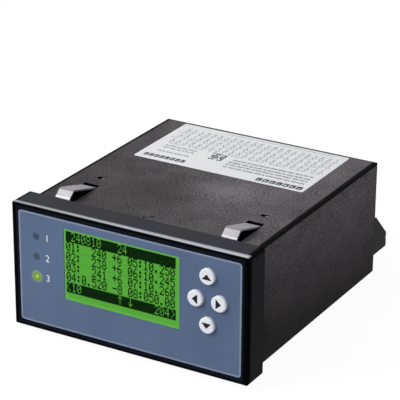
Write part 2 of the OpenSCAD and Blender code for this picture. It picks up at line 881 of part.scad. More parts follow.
// Plug with wire entries in the chamfer, screw wells in the rear face, chambers for the
// clamps between them and a nose with contact slots
module plug(i) {
    entry_y = plug_y1 - plug_lip - plug_chamfer / 2;
    entry_z = plug_zc + plug_h / 2 - plug_chamfer / 2;
    slot = pin_w + 0.5;
    color([0.09, 0.09, 0.1]) difference() {
        union() {
            along_x(i * plug_pitch - plug_w / 2, i * plug_pitch + plug_w / 2) plug_profile();
            slab(i * plug_pitch, plug_zc, nose_w, nose_h, nose_y0, plug_y0 + eps);
        }
        for (j = [0:poles - 1]) {
            x = i * plug_pitch + pole_x(j);
            translate([x, entry_y, entry_z]) rotate([-45, 0, 0])
                translate([0, 0, -wire_depth]) cylinder(d = wire_d, h = wire_depth + 1);
            translate([x - clamp_w / 2 - clamp_gap, clamp_y0 - clamp_gap,
                clamp_z1 - clamp_h - clamp_gap])
                cube([clamp_w + 2 * clamp_gap, clamp_d + 2 * clamp_gap, clamp_h + 2 * clamp_gap]);
            rod_y(x, clamp_screw_z, clamp_screw_d + 0.2,
                clamp_y0 + clamp_d, plug_y1 + eps);
            slab(x, plug_zc, slot, slot, nose_y0 - eps, clamp_y0);
        }
    }
}

// Slotted screws that close one plug's clamps
module plug_screws(i) {
    head_y = plug_y1 - clamp_head_sunk;
    color([0.75, 0.75, 0.77]) for (j = [0:poles - 1]) {
        x = i * plug_pitch + pole_x(j);
        difference() {
            union() {
                rod_y(x, clamp_screw_z, clamp_screw_d, head_y - clamp_head_t, head_y);
                rod_y(x, clamp_screw_z, clamp_screw_shank_d, clamp_y0 + 1,
                    head_y - clamp_head_t + eps);
            }
            slab(x, clamp_screw_z, clamp_screw_d + 1, 0.6, head_y - 0.6, head_y + eps);
        }
    }
}

// Metal wire clamps of one plug, each with its screw's hole and a wire hole
module plug_clamps(i) {
    color([0.7, 0.68, 0.6]) for (j = [0:poles - 1]) {
        x = i * plug_pitch + pole_x(j);
        difference() {
            translate([x - clamp_w / 2, clamp_y0, clamp_z1 - clamp_h])
                cube([clamp_w, clamp_d, clamp_h]);
            rod_y(x, clamp_screw_z, clamp_screw_shank_d + 0.1, clamp_y0 - eps,
                clamp_y0 + clamp_d + eps);
            slab(x, plug_zc, clamp_w - 2 * clamp_wall, clamp_slot_h, clamp_y0 - eps,
                clamp_y0 + clamp_d + eps);
        }
    }
}

// Potted block whose casting resin lies a little below the rim of its case
module power_transformer() {
    color([0.16, 0.16, 0.2]) difference() {
        stand(transformer_at, main_board_z, transformer_size);
        translate([transformer_at[0], transformer_at[1],
            main_board_z + transformer_size[2] - transformer_sunk])
            linear_extrude(2 * transformer_sunk) rounded_rect(
                transformer_size[0] - 2 * transformer_rim,
                transformer_size[1] - 2 * transformer_rim, transformer_rim);
    }
}

module input_transformers() {
    color([0.2, 0.3, 0.5]) for (i = [0:3]) {
        at = [input_at[0] + i * input_pitch, input_at[1]];
        difference() {
            stand(at, main_board_z, [input_side, input_side, input_side]);
            translate([at[0], at[1], main_board_z + input_side / 2])
                cylinder(d = input_core_d, h = input_side);
        }
    }
}

module relays() {
    color([0.15, 0.35, 0.6]) for (at = relay_at) {
        difference() {
            stand(at, main_board_z, relay_size);
            translate([at[0] - relay_size[0] / 2 - eps,
                at[1] - relay_size[1] / 2 + relay_foot, main_board_z - eps])
                cube([relay_size[0] + 2 * eps, relay_size[1] - 2 * relay_foot, relay_lift]);
        }
    }
}

module capacitors() {
    color([0.15, 0.15, 0.3]) for (at = capacitor_at) {
        translate([at[0], at[1], main_board_z]) rotate_extrude() polygon([
            [0, 0], [capacitor_d / 2, 0], [capacitor_d / 2, capacitor_groove_z],
            [capacitor_d / 2 - capacitor_groove, capacitor_groove_z + capacitor_groove],
            [capacitor_d / 2, capacitor_groove_z + 2 * capacitor_groove],
            [capacitor_d / 2, capacitor_h - capacitor_groove],
            [capacitor_d / 2 - capacitor_groove, capacitor_h], [0, capacitor_h]
        ]);
    }
}

module bar_x(at, z, d, l) {
    translate([at[0] - l / 2, at[1], z]) rotate([0, 90, 0]) cylinder(d = d, h = l);
}

module fuse() {
    color([0.85, 0.85, 0.8]) {
        bar_x(fuse_at, fuse_z, fuse_d - 0.4, fuse_l);
        for (x = [-1, 1]) {
            bar_x([fuse_at[0] + x * (fuse_l - fuse_cap_l) / 2, fuse_at[1]], fuse_z, fuse_d,
                fuse_cap_l);
        }
    }
}

module fuse_clips() {
    color([0.8, 0.75, 0.5]) for (x = [-1, 1]) {
        at = [fuse_at[0] + x * (fuse_l - fuse_cap_l) / 2, fuse_at[1]];
        difference() {
            stand(at, main_board_z, [fuse_cap_l - 1, fuse_d + 1.2, fuse_d]);
            bar_x(at, fuse_z, fuse_d + 2 * fuse_gap, fuse_cap_l + 1);
            stand(at, fuse_z, [fuse_cap_l + 1, fuse_d - 0.8, fuse_d]);
        }
    }
}

module processor() {
    color([0.1, 0.1, 0.1]) difference() {
        stand(processor_at, upper_top_z, [processor_side, processor_side, chip_h]);
        mark = processor_side / 2 - processor_mark_in;
        translate([processor_at[0] - mark, processor_at[1] - mark,
            upper_top_z + chip_h - chip_mark_t])
            cylinder(d = processor_mark_d, h = 2 * chip_mark_t);
    }
}

module memory_chips() {
    color([0.12, 0.12, 0.12]) for (i = [0:2]) {
        stand([memory_at[0], memory_at[1] + i * memory_pitch], upper_top_z, memory_size);
    }
}

module battery_holder() {
    side = battery_d + 2 * battery_wall;
    color([0.1, 0.1, 0.12]) difference() {
        stand(battery_at, upper_top_z, [side, side, battery_floor + battery_t]);
        translate([battery_at[0], battery_at[1], upper_top_z + battery_floor])
            cylinder(d = battery_d + 0.2, h = battery_t + 1);
    }
}

module battery() {
    color([0.8, 0.8, 0.8])
        translate([battery_at[0], battery_at[1], upper_top_z + battery_floor]) {
            cylinder(d = battery_d, h = battery_t - 0.4);
            cylinder(d = battery_d - 2, h = battery_t);
        }
}

// Stud with a flat head inside the rear wall, a neck of the thread's core width that the
// nut grips, and a free end of full width
module earth_stud() {
    color([0.78, 0.74, 0.55]) {
        rod_y(stud_x, stud_z, stud_head_d, rear_wall_y - stud_head_t, rear_wall_y);
        rod_y(stud_x, stud_z, 2 * stud_neck_r, rear_wall_y - eps, stud_free_y + eps);
        rod_y(stud_x, stud_z, stud_d, stud_free_y, stud_free_y + stud_free_l);
        translate([stud_x, stud_free_y + stud_free_l, stud_z]) rotate([-90, 0, 0])
            cylinder(d1 = stud_d, d2 = stud_d - 1, h = 0.5);
    }
}

module earth_washer() {
    color([0.75, 0.75, 0.76]) difference() {
        rod_y(stud_x, stud_z, washer_d, housing_l, housing_l + washer_t);
        rod_y(stud_x, stud_z, stud_d + 0.3, housing_l - eps, housing_l + washer_t + eps);
    }
}

module earth_nut() {
    y0 = housing_l + washer_t;
    color([0.78, 0.74, 0.55]) difference() {
        translate([stud_x, y0, stud_z]) rotate([-90, 0, 0])
            cylinder(d = nut_across / cos(30), h = nut_t, $fn = 6);
        rod_y(stud_x, stud_z, 2 * (stud_neck_r + stud_gap), y0 - eps, y0 + nut_t + eps);
    }
}

bezel();
front_foil();
display_window();
lcd_glass();
lcd_marks();
backlight();
lcd_holder();
front_board();
board_screws();
key_switches();
key(key_places[0]);  // key_up
key(key_places[1]);  // key_down
key(key_places[2]);  // key_left
key(key_places[3]);  // key_right
arrow(key_places[0], 0);  // arrow_up
arrow(key_places[1], 180);  // arrow_down
arrow(key_places[2], -90);  // arrow_left
arrow(key_places[3], 90);  // arrow_right
lamp(lamp_places[0], [0.2, 0.22, 0.25]);  // lamp_upper
lamp(lamp_places[1], [0.2, 0.22, 0.25]);  // lamp_middle
lamp(lamp_places[2], [0.7, 0.95, 0.3]);  // lamp_lower
lamp_leds();
lamp_numbers();
housing();
type_plate();
type_plate_print();
clip(clip_places[0]);  // clip_top_left
clip(clip_places[1]);  // clip_top_right
clip(clip_places[2]);  // clip_bottom_left
clip(clip_places[3]);  // clip_bottom_right
rear_board(main_board_z - board_t, main_board_l);  // main_board
rear_board(upper_board_z, upper_board_l);  // upper_board
board_spacers();
front_link();
board_link();
headers();
header_pins();
plug(-1);  // plug_left
plug(0);  // plug_middle
plug(1);  // plug_right
plug_screws(-1);  // screws_left
plug_screws(0);  // screws_middle
plug_screws(1);  // screws_right
plug_clamps(-1);  // clamps_left
plug_clamps(0);  // clamps_middle
plug_clamps(1);  // clamps_right
power_transformer();
input_transformers();
relays();
capacitors();
fuse();
fuse_clips();
processor();
memory_chips();
battery();
battery_holder();
earth_stud();
earth_washer();
earth_nut();
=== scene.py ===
"""Looks of a panel-mounted earth fault detector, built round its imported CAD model.

Lengths in the classes are millimetres in the CAD frame: X to the right as seen from the
front, Y to the rear and Z up, with the origin at the centre of the panel cut-out.
"""

import logging
import math
from collections.abc import Callable, Sequence
from dataclasses import dataclass, field
from enum import Enum
from functools import cached_property
from typing import Any

import bpy
import numpy as np
from mathutils import Euler, Matrix, Vector


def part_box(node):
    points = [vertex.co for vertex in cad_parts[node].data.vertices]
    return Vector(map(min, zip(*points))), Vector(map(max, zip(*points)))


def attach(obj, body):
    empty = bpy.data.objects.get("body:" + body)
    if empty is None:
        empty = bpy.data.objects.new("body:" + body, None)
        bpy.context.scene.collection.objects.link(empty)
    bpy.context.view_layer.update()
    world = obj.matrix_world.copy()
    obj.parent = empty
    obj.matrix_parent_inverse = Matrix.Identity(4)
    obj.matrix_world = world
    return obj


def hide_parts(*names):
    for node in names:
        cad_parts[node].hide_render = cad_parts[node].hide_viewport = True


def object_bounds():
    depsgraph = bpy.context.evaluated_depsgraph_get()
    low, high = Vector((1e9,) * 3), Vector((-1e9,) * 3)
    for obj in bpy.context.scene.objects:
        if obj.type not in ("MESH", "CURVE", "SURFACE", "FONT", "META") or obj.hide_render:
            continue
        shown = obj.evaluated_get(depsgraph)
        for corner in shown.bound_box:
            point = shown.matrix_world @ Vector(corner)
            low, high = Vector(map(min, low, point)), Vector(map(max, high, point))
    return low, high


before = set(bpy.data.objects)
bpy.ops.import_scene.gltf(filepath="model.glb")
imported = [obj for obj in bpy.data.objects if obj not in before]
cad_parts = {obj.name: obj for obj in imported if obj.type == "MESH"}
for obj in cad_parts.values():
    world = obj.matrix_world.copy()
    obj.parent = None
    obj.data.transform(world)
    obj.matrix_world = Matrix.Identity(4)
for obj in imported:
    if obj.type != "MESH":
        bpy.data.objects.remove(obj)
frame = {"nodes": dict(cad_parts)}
CAD_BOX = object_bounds()

LOG = logging.getLogger("earth_fault_detector")
MM = 0.001
# Far past the model on any axis, in mm
FAR = 1000.0
Pair = tuple[float, float]
Point = tuple[float, float, float]
Node = bpy.types.Node
Socket = bpy.types.NodeSocket
Piece = bpy.types.Object


def linear(code: str) -> tuple[float, float, float, float]:
    """Turn an sRGB hex colour into the linear colour that shaders take.

    Args:
        code: Colour such as "#5d6e88".

    Returns:
        Linear red, green and blue, with alpha 1.
    """
    parts = [int(code[i:i + 2], 16) / 255 for i in (1, 3, 5)]
    red, green, blue = [
        c / 12.92 if c <= 0.04045 else ((c + 0.055) / 1.055) ** 2.4 for c in parts
    ]
    return red, green, blue, 1.0


def per_mm(size: float) -> float:
    """Scale of a pattern on Object coordinates whose cells are this many mm wide."""
    return 1 / (size * MM)


def box_mm(name: str) -> tuple[Vector, Vector]:
    """Lowest and highest corner of a CAD node in mm."""
    low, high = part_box(name)
    return low / MM, high / MM


def middle_mm(name: str) -> Vector:
    """Middle of a CAD node's box in mm."""
    low, high = box_mm(name)
    return (low + high) / 2


@dataclass
class Shading:
    """Node tree of a material or the world."""

    owner: bpy.types.Material | bpy.types.World

    def __post_init__(self) -> None:
        """Turn the owner's nodes on and clear them."""
        self.owner.use_nodes = True
        self.owner.node_tree.nodes.clear()

    @cached_property
    def coords(self) -> Socket:
        """Object coordinates, from one node that all patterns share."""
        return self.add("TexCoord").outputs["Object"]

    def add(self, kind: str, *values: Any, named: dict[str, Any] | None = None,
            **settings: Any) -> Node:
        """Add one node with its settings, values and links.

        Args:
            kind: Type name of the node, without ShaderNode at its start.
            *values: A number, vector, hex colour, output socket or node for each input in
                use, in their order; of a node, the first output in use is linked.
            named: The same for inputs by their names.
            **settings: Attributes of the node itself.

        Returns:
            The new node.
        """
        tree = self.owner.node_tree
        node = tree.nodes.new("ShaderNode" + kind)
        for key, value in settings.items():
            setattr(node, key, value)
        pairs = list(zip([socket for socket in node.inputs if socket.enabled], values))
        pairs += [(node.inputs[name], value) for name, value in (named or {}).items()]
        for socket, value in pairs:
            if isinstance(value, Node):
                value = next(output for output in value.outputs if output.enabled)
            if isinstance(value, Socket):
                tree.links.new(value, socket)
            else:
                socket.default_value = linear(value) if isinstance(value, str) else value
        return node

    def fade(self, value: Node | Socket, start: float, end: float, under: Any, over: Any,
             most: float = 1.0, **settings: Any) -> Node:
        """Go from one colour to another as a value goes from its start to its end.

        Args:
            value: The value.
            start: Value at which the first colour ends.
            end: Value at which the second colour is reached.
            under: First colour.
            over: Second colour.
            most: Share of the second colour at the end.
            **settings: Attributes of the ramp.

        Returns:
            The mixed colour.
        """
        share = self.add("MapRange", value, start, end, 0.0, most, **settings)
        return self.add("Mix", share, under, over, data_type="RGBA")

    def off_axis(self, at: Vector) -> Node:
        """Distance from the line along Y through a place that is given in mm."""
        flat = self.add("VectorMath", self.coords, (1, 0, 1), operation="MULTIPLY")
        return self.add("VectorMath", flat, Vector((at.x, 0, at.z)) * MM, operation="DISTANCE")

    def past_box(self, low: Vector, high: Vector, reach: Point) -> Node:
        """Measure how far a place lies past the sides of a box that is made smaller.

        Args:
            low: Lowest corner of the box in mm.
            high: Highest corner of the box in mm.
            reach: How much smaller it is made at each side along X, Y and Z, in mm.

        Returns:
            Vector in metres, each axis of it below 0 between its two sides.
        """
        inside = (high - low) / 2 - Vector(reach)
        centred = self.add("VectorMath", self.coords, (low + high) / 2 * MM, operation="SUBTRACT")
        across = self.add("VectorMath", centred, operation="ABSOLUTE")
        return self.add("VectorMath", across, inside * MM, operation="SUBTRACT")

    def edge_mask(self, low: Vector, high: Vector, reach: Point,
                  fade: float = 0.35) -> Node:
        """Make a mask of the edges of a box.

        Args:
            low: Lowest corner of the box in mm.
            high: Highest corner of the box in mm.
            reach: How far the mask reaches from its sides along X, Y and Z, in mm.
            fade: Over how many mm it fades in.

        Returns:
            Value that is 1 along the edges and 0 on the faces.
        """
        x, y, z = self.add("SeparateXYZ", self.past_box(low, high, reach)).outputs
        # A place lies on an edge where two of the three axes are past their sides
        second = self.add("Math", x, y, operation="MINIMUM")
        for one, other in ((y, z), (x, z)):
            pair = self.add("Math", one, other, operation="MINIMUM")
            second = self.add("Math", second, pair, operation="MAXIMUM")
        return self.add("MapRange", second, 0.0, fade * MM)


@dataclass(frozen=True)
class DisplayLayout:
    """Where the characters lie inside the display window."""

    margin_left: float = 0.55
    margin_top: float = 0.75
    sign_pitch: float = 2.12
    row_pitch: float = 3.9


LAYOUT = DisplayLayout()


# Finishes

@dataclass(frozen=True)
class Finish:
    """What every finish shares: a name and a shader whose inputs a subclass makes."""

    name: str

    def inputs(self, to: Shading) -> dict[str, Any]:
        """Make the nodes of the finish and return the inputs of its shader."""
        raise NotImplementedError

    def material(self) -> bpy.types.Material:
        """Make the material on the first call.

        Returns:
            The material of the finish's name, the same one at every call.
        """
        material = bpy.data.materials.get(self.name)
        if material is None:
            material = bpy.data.materials.new(self.name)
            to = Shading(material)
            to.add("OutputMaterial", to.add("BsdfPrincipled", named=self.inputs(to)))
        return material


@dataclass(frozen=True)
class MouldedPlastic(Finish):
    """Thermoplastic, injection-moulded in an etched or satin mould.

    The mould's texture breaks the light into fine bright and dark points, and slow
    changes of the melt leave soft clouds of tone.
    """

    body: str = "#1d1d1f"
    crest: str = "#2b2b2d"
    cloud: str = "#222224"
    roughness: float = 0.5
    specular: float = 0.2
    # How far the grain moves the roughness either way
    swing: float = 0.06
    # Real spark-eroded grain is about 0.1 mm; it is drawn coarser so that it shows
    grain_mm: float = 0.4
    depth_mm: float = 0.01
    cloud_mm: float = 9.0
    # Parts of the noise over which clouds and crests come in
    cloud_ramp: Pair = (0.36, 0.64)
    crest_ramp: Pair = (0.44, 0.68)

    def paint_light_and_shade(self, to: Shading, colour: Node) -> Node:
        """Return the colour as it is; a subclass paints light and shade on it."""
        return colour

    def inputs(self, to: Shading) -> dict[str, Any]:
        """Make grain, clouds and bump.

        Args:
            to: The material's nodes.

        Returns:
            Inputs of the shader.
        """
        grain = to.add("TexNoise", to.coords, per_mm(self.grain_mm), 2.0, 0.65)
        clouds = to.add("TexNoise", to.coords, per_mm(self.cloud_mm), 3.0)
        body = to.fade(clouds, *self.cloud_ramp, self.body, self.cloud)
        colour = to.fade(grain, *self.crest_ramp, body, self.crest)
        rough = to.add("MapRange", grain, 0.3, 0.7, self.roughness - self.swing,
                       self.roughness + self.swing)
        bump = to.add("Bump", named={"Distance": self.depth_mm * MM, "Height": grain})
        return {"Base Color": self.paint_light_and_shade(to, colour), "Roughness": rough,
                "Specular IOR Level": self.specular, "Normal": bump}


@dataclass(frozen=True)
class HousingPlastic(MouldedPlastic):
    """ABS housing: spark-eroded walls, with painted light and shade.

    The walls are charcoal; painted light makes them paler to the right, the rear and the top,
    and darker towards the left and the bottom, and painted patches of light and shade lie
    on them. The edges and the inside are painted black as shade.
    """

    # Painted light and shade: how much of the colour shows at the origin, what each mm
    # along X, Y and Z adds, and the least that is left
    tone: float = 0.38
    painted_light_drift: Point = (0.0099, 0.005, 0.0414)
    least: float = 0.3
    # Painted patches of light and shade: place, reach in mm and what each adds at its
    # middle; one that lies over the top changes the top alone
    marks: Sequence[tuple[Point, float, float]] = (
        ((13.3, 38.7, 22.4), 22.4, 1.0),
        ((-8.8, 25.2, 22.4), 22.9, -0.45),
        ((45.3, 68.3, 22.4), 50.0, 0.3),
        ((46.0, 0.0, 10.0), 15.0, -0.5),
        ((46.0, 0.0, -8.0), 14.0, -0.35),
        ((47.0, 40.0, 36.0), 25.0, -1.2),
        ((47.0, 62.0, 36.0), 25.0, -1.2),
        ((47.0, 86.0, 36.0), 25.0, -1.2),
        ((-36.0, 86.0, 22.4), 14.0, 0.5),
    )
    # Painted shade along the edges, which read as black lines
    edge: str = "#050506"
    shade_edge_reach: Point = (2.0, 1.3, 1.2)
    # Painted shade: rooms and cuts are dark from this depth under the outer faces,
    # with a soft start
    inside_shade_depth: float = 0.3
    inside_shade_fade: float = 0.2

    def paint_light_and_shade(self, to: Shading, colour: Node) -> Node:
        """Paint light and shade on the walls, and paint the edges and the inside black as shade.

        Args:
            to: The material's nodes.
            colour: Colour of the grained walls.

        Returns:
            The changed colour.
        """
        low, high = box_mm("housing")
        # The front edges lie in the frame; the box runs on so that they stay as they are
        low.y = -high.y
        # Painted light: paler to the right, the rear and the top, darker to the left and bottom
        along = to.add("VectorMath", to.coords, Vector(self.painted_light_drift) / MM, operation="DOT_PRODUCT")
        painted_light_gain = to.add("Math", along, self.tone, operation="ADD")
        painted_light_gain = to.add("Math", painted_light_gain, self.least, operation="MAXIMUM")
        # Painted patches of light and shade
        for place, reach, strength in self.marks:
            away = to.add("VectorMath", to.coords, Vector(place) * MM, operation="DISTANCE")
            mark = to.add("MapRange", away, 0.0, reach * MM, strength, 0.0,
                          interpolation_type="SMOOTHSTEP")
            painted_light_gain = to.add("Math", painted_light_gain, mark, operation="ADD")
        painted_light_colour = to.add("VectorMath", colour, painted_light_gain, operation="SCALE")
        # Painted shade along the edges
        mask = to.edge_mask(low, high, self.shade_edge_reach)
        edged = to.add("Mix", mask, painted_light_colour, self.edge, data_type="RGBA")
        # Painted shade on the inside, under the outer faces
        past = to.past_box(low, high, (self.inside_shade_depth,) * 3)
        outermost, *others = to.add("SeparateXYZ", past).outputs
        for other in others:
            outermost = to.add("Math", outermost, other, operation="MAXIMUM")
        return to.fade(outermost, 0.0, self.inside_shade_fade * MM, self.edge, edged)


@dataclass(frozen=True)
class FramePlastic(MouldedPlastic):
    """ABS front frame from a satin mould, with a painted highlight along its upper front edge.

    The front face, the sides and the edges are painted darker than the top as shade: the
    front face and the edges almost black, the sides dark grey.
    """

    # Painted shade: the front face and the sides darker than the top, the edges darker still
    face: str = "#12161f"
    side: str = "#1f1d20"
    edge: str = "#040405"
    shade_edge_reach: Point = (2.2, 2.0, 1.4)
    # Painted highlight along the upper front edge, paler to the right
    highlight_left: str = "#a4a5ab"
    highlight_right: str = "#c8c8d0"
    # Start and end of each ramp in mm: behind the face, in from the sides, and of the
    # painted highlight strip down from the top, behind the face and before its rear end
    face_shade_ramp: Pair = (0.1, 0.7)
    side_shade_ramp: Pair = (-0.5, -1.0)
    top_ramp: Pair = (-0.45, -0.2)
    start_ramp: Pair = (0.15, 0.4)
    end_ramp: Pair = (0.0, 0.9)
    # How far behind the face the painted highlight strip ends at the left and at the right
    highlight_end: Pair = (1.7, 2.5)

    def paint_light_and_shade(self, to: Shading, colour: Node) -> Node:
        """Paint shade on the front face, the sides and the edges, and a highlight along the upper
        front edge.

        Args:
            to: The material's nodes.
            colour: Colour of the satin faces.

        Returns:
            The changed colour.
        """
        low, high = box_mm("bezel")
        x, y, z = to.add("SeparateXYZ", to.coords).outputs
        across = to.add("Math", x, operation="ABSOLUTE")
        limit = to.add("MapRange", x, low.x * MM, high.x * MM, (low.y + self.highlight_end[0]) * MM,
                       (low.y + self.highlight_end[1]) * MM)
        left_over = to.add("Math", limit, y, operation="SUBTRACT")
        behind, within, top, start, end = (
            to.add("MapRange", value, (base + zero) * MM, (base + one) * MM)
            for value, base, (zero, one) in (
                (y, low.y, self.face_shade_ramp), (across, high.x, self.side_shade_ramp),
                (z, high.z, self.top_ramp), (y, low.y, self.start_ramp),
                (left_over, 0, self.end_ramp)))
        # Painted shade: the sides darker than the top, the front face darker still
        shaded_sides = to.add("Mix", within, self.side, colour, data_type="RGBA")
        painted_light_colour = to.add("Mix", behind, self.face, shaded_sides, data_type="RGBA")
        # Painted shade goes only on the front edges and those along the depth
        long_box = Vector((high.x, -3 * low.y, high.z))
        mask = to.edge_mask(low, long_box, self.shade_edge_reach)
        edged = to.add("Mix", mask, painted_light_colour, self.edge, data_type="RGBA")
        # Painted highlight along the upper front edge
        highlight_mask = within
        for part in (top, start, end):
            highlight_mask = to.add("Math", highlight_mask, part, operation="MULTIPLY")
        highlight = to.fade(x, low.x * MM, high.x * MM, self.highlight_left, self.highlight_right)
        return to.add("Mix", highlight_mask, edged, highlight, data_type="RGBA")


@dataclass(frozen=True)
class PrintedFilm(Finish):
    """Polyester film, reverse-printed and cut to shape.

    The print is even and matt, a thin pale rim runs just inside the cut edge, and a faint
    painted glow of the lit lamp lies on the film round it.
    """

    colour: str = "#5f7190"
    shade: str = "#596a87"
    rim: str = "#8793a9"
    glow: str = "#8daa72"
    # Radius round the lamp's middle where the glow is full, and where it ends
    glow_reach: Pair = (1.3, 2.9)
    corner: float = 1.2
    # How far inside the cut edge the pale rim starts, and where it is full
    rim_reach: Pair = (0.8, 0.4)
    roughness: float = 0.55
    specular: float = 0.1
    # Texture of the film's matt face, and slow changes of the print
    fine_mm: float = 0.3
    slow_mm: float = 25.0
    # Share of the fine texture in the tone, and the part of the noise that shows
    fine_share: float = 0.3
    tone_ramp: Pair = (0.5, 0.8)

    def inputs(self, to: Shading) -> dict[str, Any]:
        """Make the print, the rim and the glow.

        Args:
            to: The material's nodes.

        Returns:
            Inputs of the shader.
        """
        fine, slow = (to.add("TexNoise", to.coords, per_mm(size), 1.0)
                      for size in (self.fine_mm, self.slow_mm))
        mixed = to.add("Math", fine, self.fine_share, slow, operation="MULTIPLY_ADD")
        tone = to.fade(mixed, *self.tone_ramp, self.colour, self.shade)
        # Distance outside a rectangle that is smaller by the corner radius
        past = to.past_box(*box_mm("front_foil"), (self.corner, -FAR, self.corner))
        outside = to.add("VectorMath", past, (0, 0, 0), operation="MAXIMUM")
        distance = to.add("VectorMath", outside, operation="LENGTH")
        start, end = ((self.corner - reach) * MM for reach in self.rim_reach)
        edged = to.fade(distance, start, end, tone, self.rim)
        # Painted glow of the lit lamp on the film
        full, gone = self.glow_reach
        halo = to.add("MapRange", to.off_axis(middle_mm("lamp_lower")), full * MM,
                      gone * MM, 0.9, 0.0, interpolation_type="SMOOTHSTEP")
        colour = to.add("Mix", halo, edged, self.glow, data_type="RGBA")
        bump = to.add("Bump", named={"Distance": 0.002 * MM, "Height": fine})
        return {"Base Color": colour, "Roughness": self.roughness,
                "Specular IOR Level": self.specular, "Normal": bump}


@dataclass(frozen=True)
class ClearWindow(Finish):
    """Clear polyester window, as good as invisible over the lit display."""

    tint: str = "#3a4a34"
    roughness: float = 0.25
    smear_mm: float = 12.0

    def inputs(self, to: Shading) -> dict[str, Any]:
        """Make faint smears in the film's haze.

        Args:
            to: The material's nodes.

        Returns:
            Inputs of the shader.
        """
        smear = to.add("TexNoise", to.coords, per_mm(self.smear_mm), 2.0)
        haze = to.add("MapRange", smear, 0.0, 1.0, 0.004, 0.012)
        return {"Base Color": self.tint, "Roughness": self.roughness,
                "Specular IOR Level": 0.1, "Alpha": haze}


@dataclass(frozen=True)
class LitDisplay(Finish):
    """Liquid-crystal glass over a yellow-green edge light.

    The light is a little stronger near the glass's rim, and faint lines show between the
    rows of characters.
    """

    glass: str = "#1d3a14"
    colour: str = "#52a534"
    edge: str = "#64b44a"
    line: str = "#439127"
    strength: float = 0.88
    rim_mm: float = 1.2
    # The gap line under each row of characters is one dot high, about 0.45 mm: how far
    # over the next row it starts, where it is full, and how strong it is
    gap_reach: Pair = (0.6, 0.3)
    gap_share: float = 0.6

    def inputs(self, to: Shading) -> dict[str, Any]:
        """Make the row lines and the brighter rim.

        Args:
            to: The material's nodes.

        Returns:
            Inputs of the shader.
        """
        low, high = box_mm("display_window")
        pitch = LAYOUT.row_pitch
        z = to.add("SeparateXYZ", to.coords).outputs[2]
        down = to.add("Math", (high.z - LAYOUT.margin_top) * MM, z, operation="SUBTRACT")
        within = to.add("Math", down, pitch * MM, operation="FLOORED_MODULO")
        start, end = ((pitch - reach) * MM for reach in self.gap_reach)
        lined = to.fade(within, start, end, self.colour, self.line, most=self.gap_share)
        past = to.past_box(low, high, (self.rim_mm, -FAR, self.rim_mm))
        edges = to.add("SeparateXYZ", past).outputs
        nearest = to.add("Math", edges[0], edges[2], operation="MAXIMUM")
        light = to.fade(nearest, 0.0, self.rim_mm * MM, lined, self.edge)
        return {"Base Color": self.glass, "Roughness": 0.4, "Specular IOR Level": 0.1,
                "Emission Color": light, "Emission Strength": self.strength}


@dataclass(frozen=True)
class Ink(Finish):
    """Screen-printed or thermally printed ink, a little uneven where it was laid."""

    colour: str = "#1a1a1c"
    thin: str = "#252528"
    roughness: float = 0.55
    specular: float = 0.15
    # Mesh marks of the screen, drawn coarser than the real 0.1 mm so that they show
    mesh_mm: float = 0.4

    def inputs(self, to: Shading) -> dict[str, Any]:
        """Make the unevenness of the ink.

        Args:
            to: The material's nodes.

        Returns:
            Inputs of the shader.
        """
        marks = to.add("TexNoise", to.coords, per_mm(self.mesh_mm), 1.0)
        colour = to.add("Mix", marks, self.colour, self.thin, data_type="RGBA")
        return {"Base Color": colour, "Roughness": self.roughness,
                "Specular IOR Level": self.specular}


@dataclass(frozen=True)
class LampLens(Finish):
    """Acrylic light guide, cut flush with the film; it glows from its middle when lit.

    Unlit it is smoked and only a little darker than the film; lit it fades from a
    yellow-green middle to an olive rim.
    """

    node: str = "lamp_lower"
    core: str = "#38475f"
    ring: str = "#53627e"
    lit: bool = False
    lit_body: str = "#1d2a0c"
    # Shares of the radius where the fade from core to ring starts, and where it ends
    fade_start: float = 0.15
    fade_end: float = 0.9

    def inputs(self, to: Shading) -> dict[str, Any]:
        """Make the tone from the lens's middle to its rim.

        Args:
            to: The material's nodes.

        Returns:
            Inputs of the shader.
        """
        radius = middle_mm("lamp_lower").z - box_mm("lamp_lower")[0].z
        tone = to.fade(
            to.off_axis(middle_mm(self.node)), self.fade_start * radius * MM,
            self.fade_end * radius * MM, self.core, self.ring,
            interpolation_type="SMOOTHSTEP")
        return {"Base Color": self.lit_body if self.lit else tone, "Roughness": 0.4,
                "Specular IOR Level": 0.1, "Emission Color": tone,
                "Emission Strength": 0.9 if self.lit else 0.0}


@dataclass(frozen=True)
class SheetMetal(Finish):
    """Metal strip or plated part, with the fine lines that rolling or turning leaves.

    The lines run along one axis, so they show as faint streaks in the reflection.
    """

    colour: str = "#c4c2c4"
    dull: str = "#a5a2a3"
    roughness: float = 0.38
    # How far the streaks move the roughness either way
    swing: float = 0.08
    # Length and width of one streak; real rolling lines are near 0.02 mm and wouldn't show
    streak: Point = (7.0, 0.22, 0.22)
    depth_mm: float = 0.004
    dull_ramp: Pair = (0.35, 0.7)
    # Painted shade where it lies nearer to the middle height than this many mm, inside the
    # housing
    painted_shade: str = "#08080a"
    painted_shade_within: float = 0.0
    painted_shade_fade: float = 0.4

    def inputs(self, to: Shading) -> dict[str, Any]:
        """Make the streaks, and the painted shade where there is one.

        Args:
            to: The material's nodes.

        Returns:
            Inputs of the shader.
        """
        stretched = to.add("VectorMath", to.coords, tuple(map(per_mm, self.streak)),
                           operation="MULTIPLY")
        lines = to.add("TexNoise", stretched, 1.0, 3.0, 0.6)
        colour = to.fade(lines, *self.dull_ramp, self.colour, self.dull)
        # Painted shade, darker nearer to the middle height
        if self.painted_shade_within:
            z = to.add("SeparateXYZ", to.coords).outputs[2]
            height = to.add("Math", z, operation="ABSOLUTE")
            start = (self.painted_shade_within - self.painted_shade_fade) * MM
            colour = to.fade(height, start, self.painted_shade_within * MM, self.painted_shade, colour)
        rough = to.add("MapRange", lines, 0.0, 1.0, self.roughness - self.swing,
                       self.roughness + self.swing)
        bump = to.add("Bump", named={"Distance": self.depth_mm * MM, "Height": lines})
        return {"Base Color": colour, "Metallic": 1.0, "Roughness": rough, "Normal": bump}


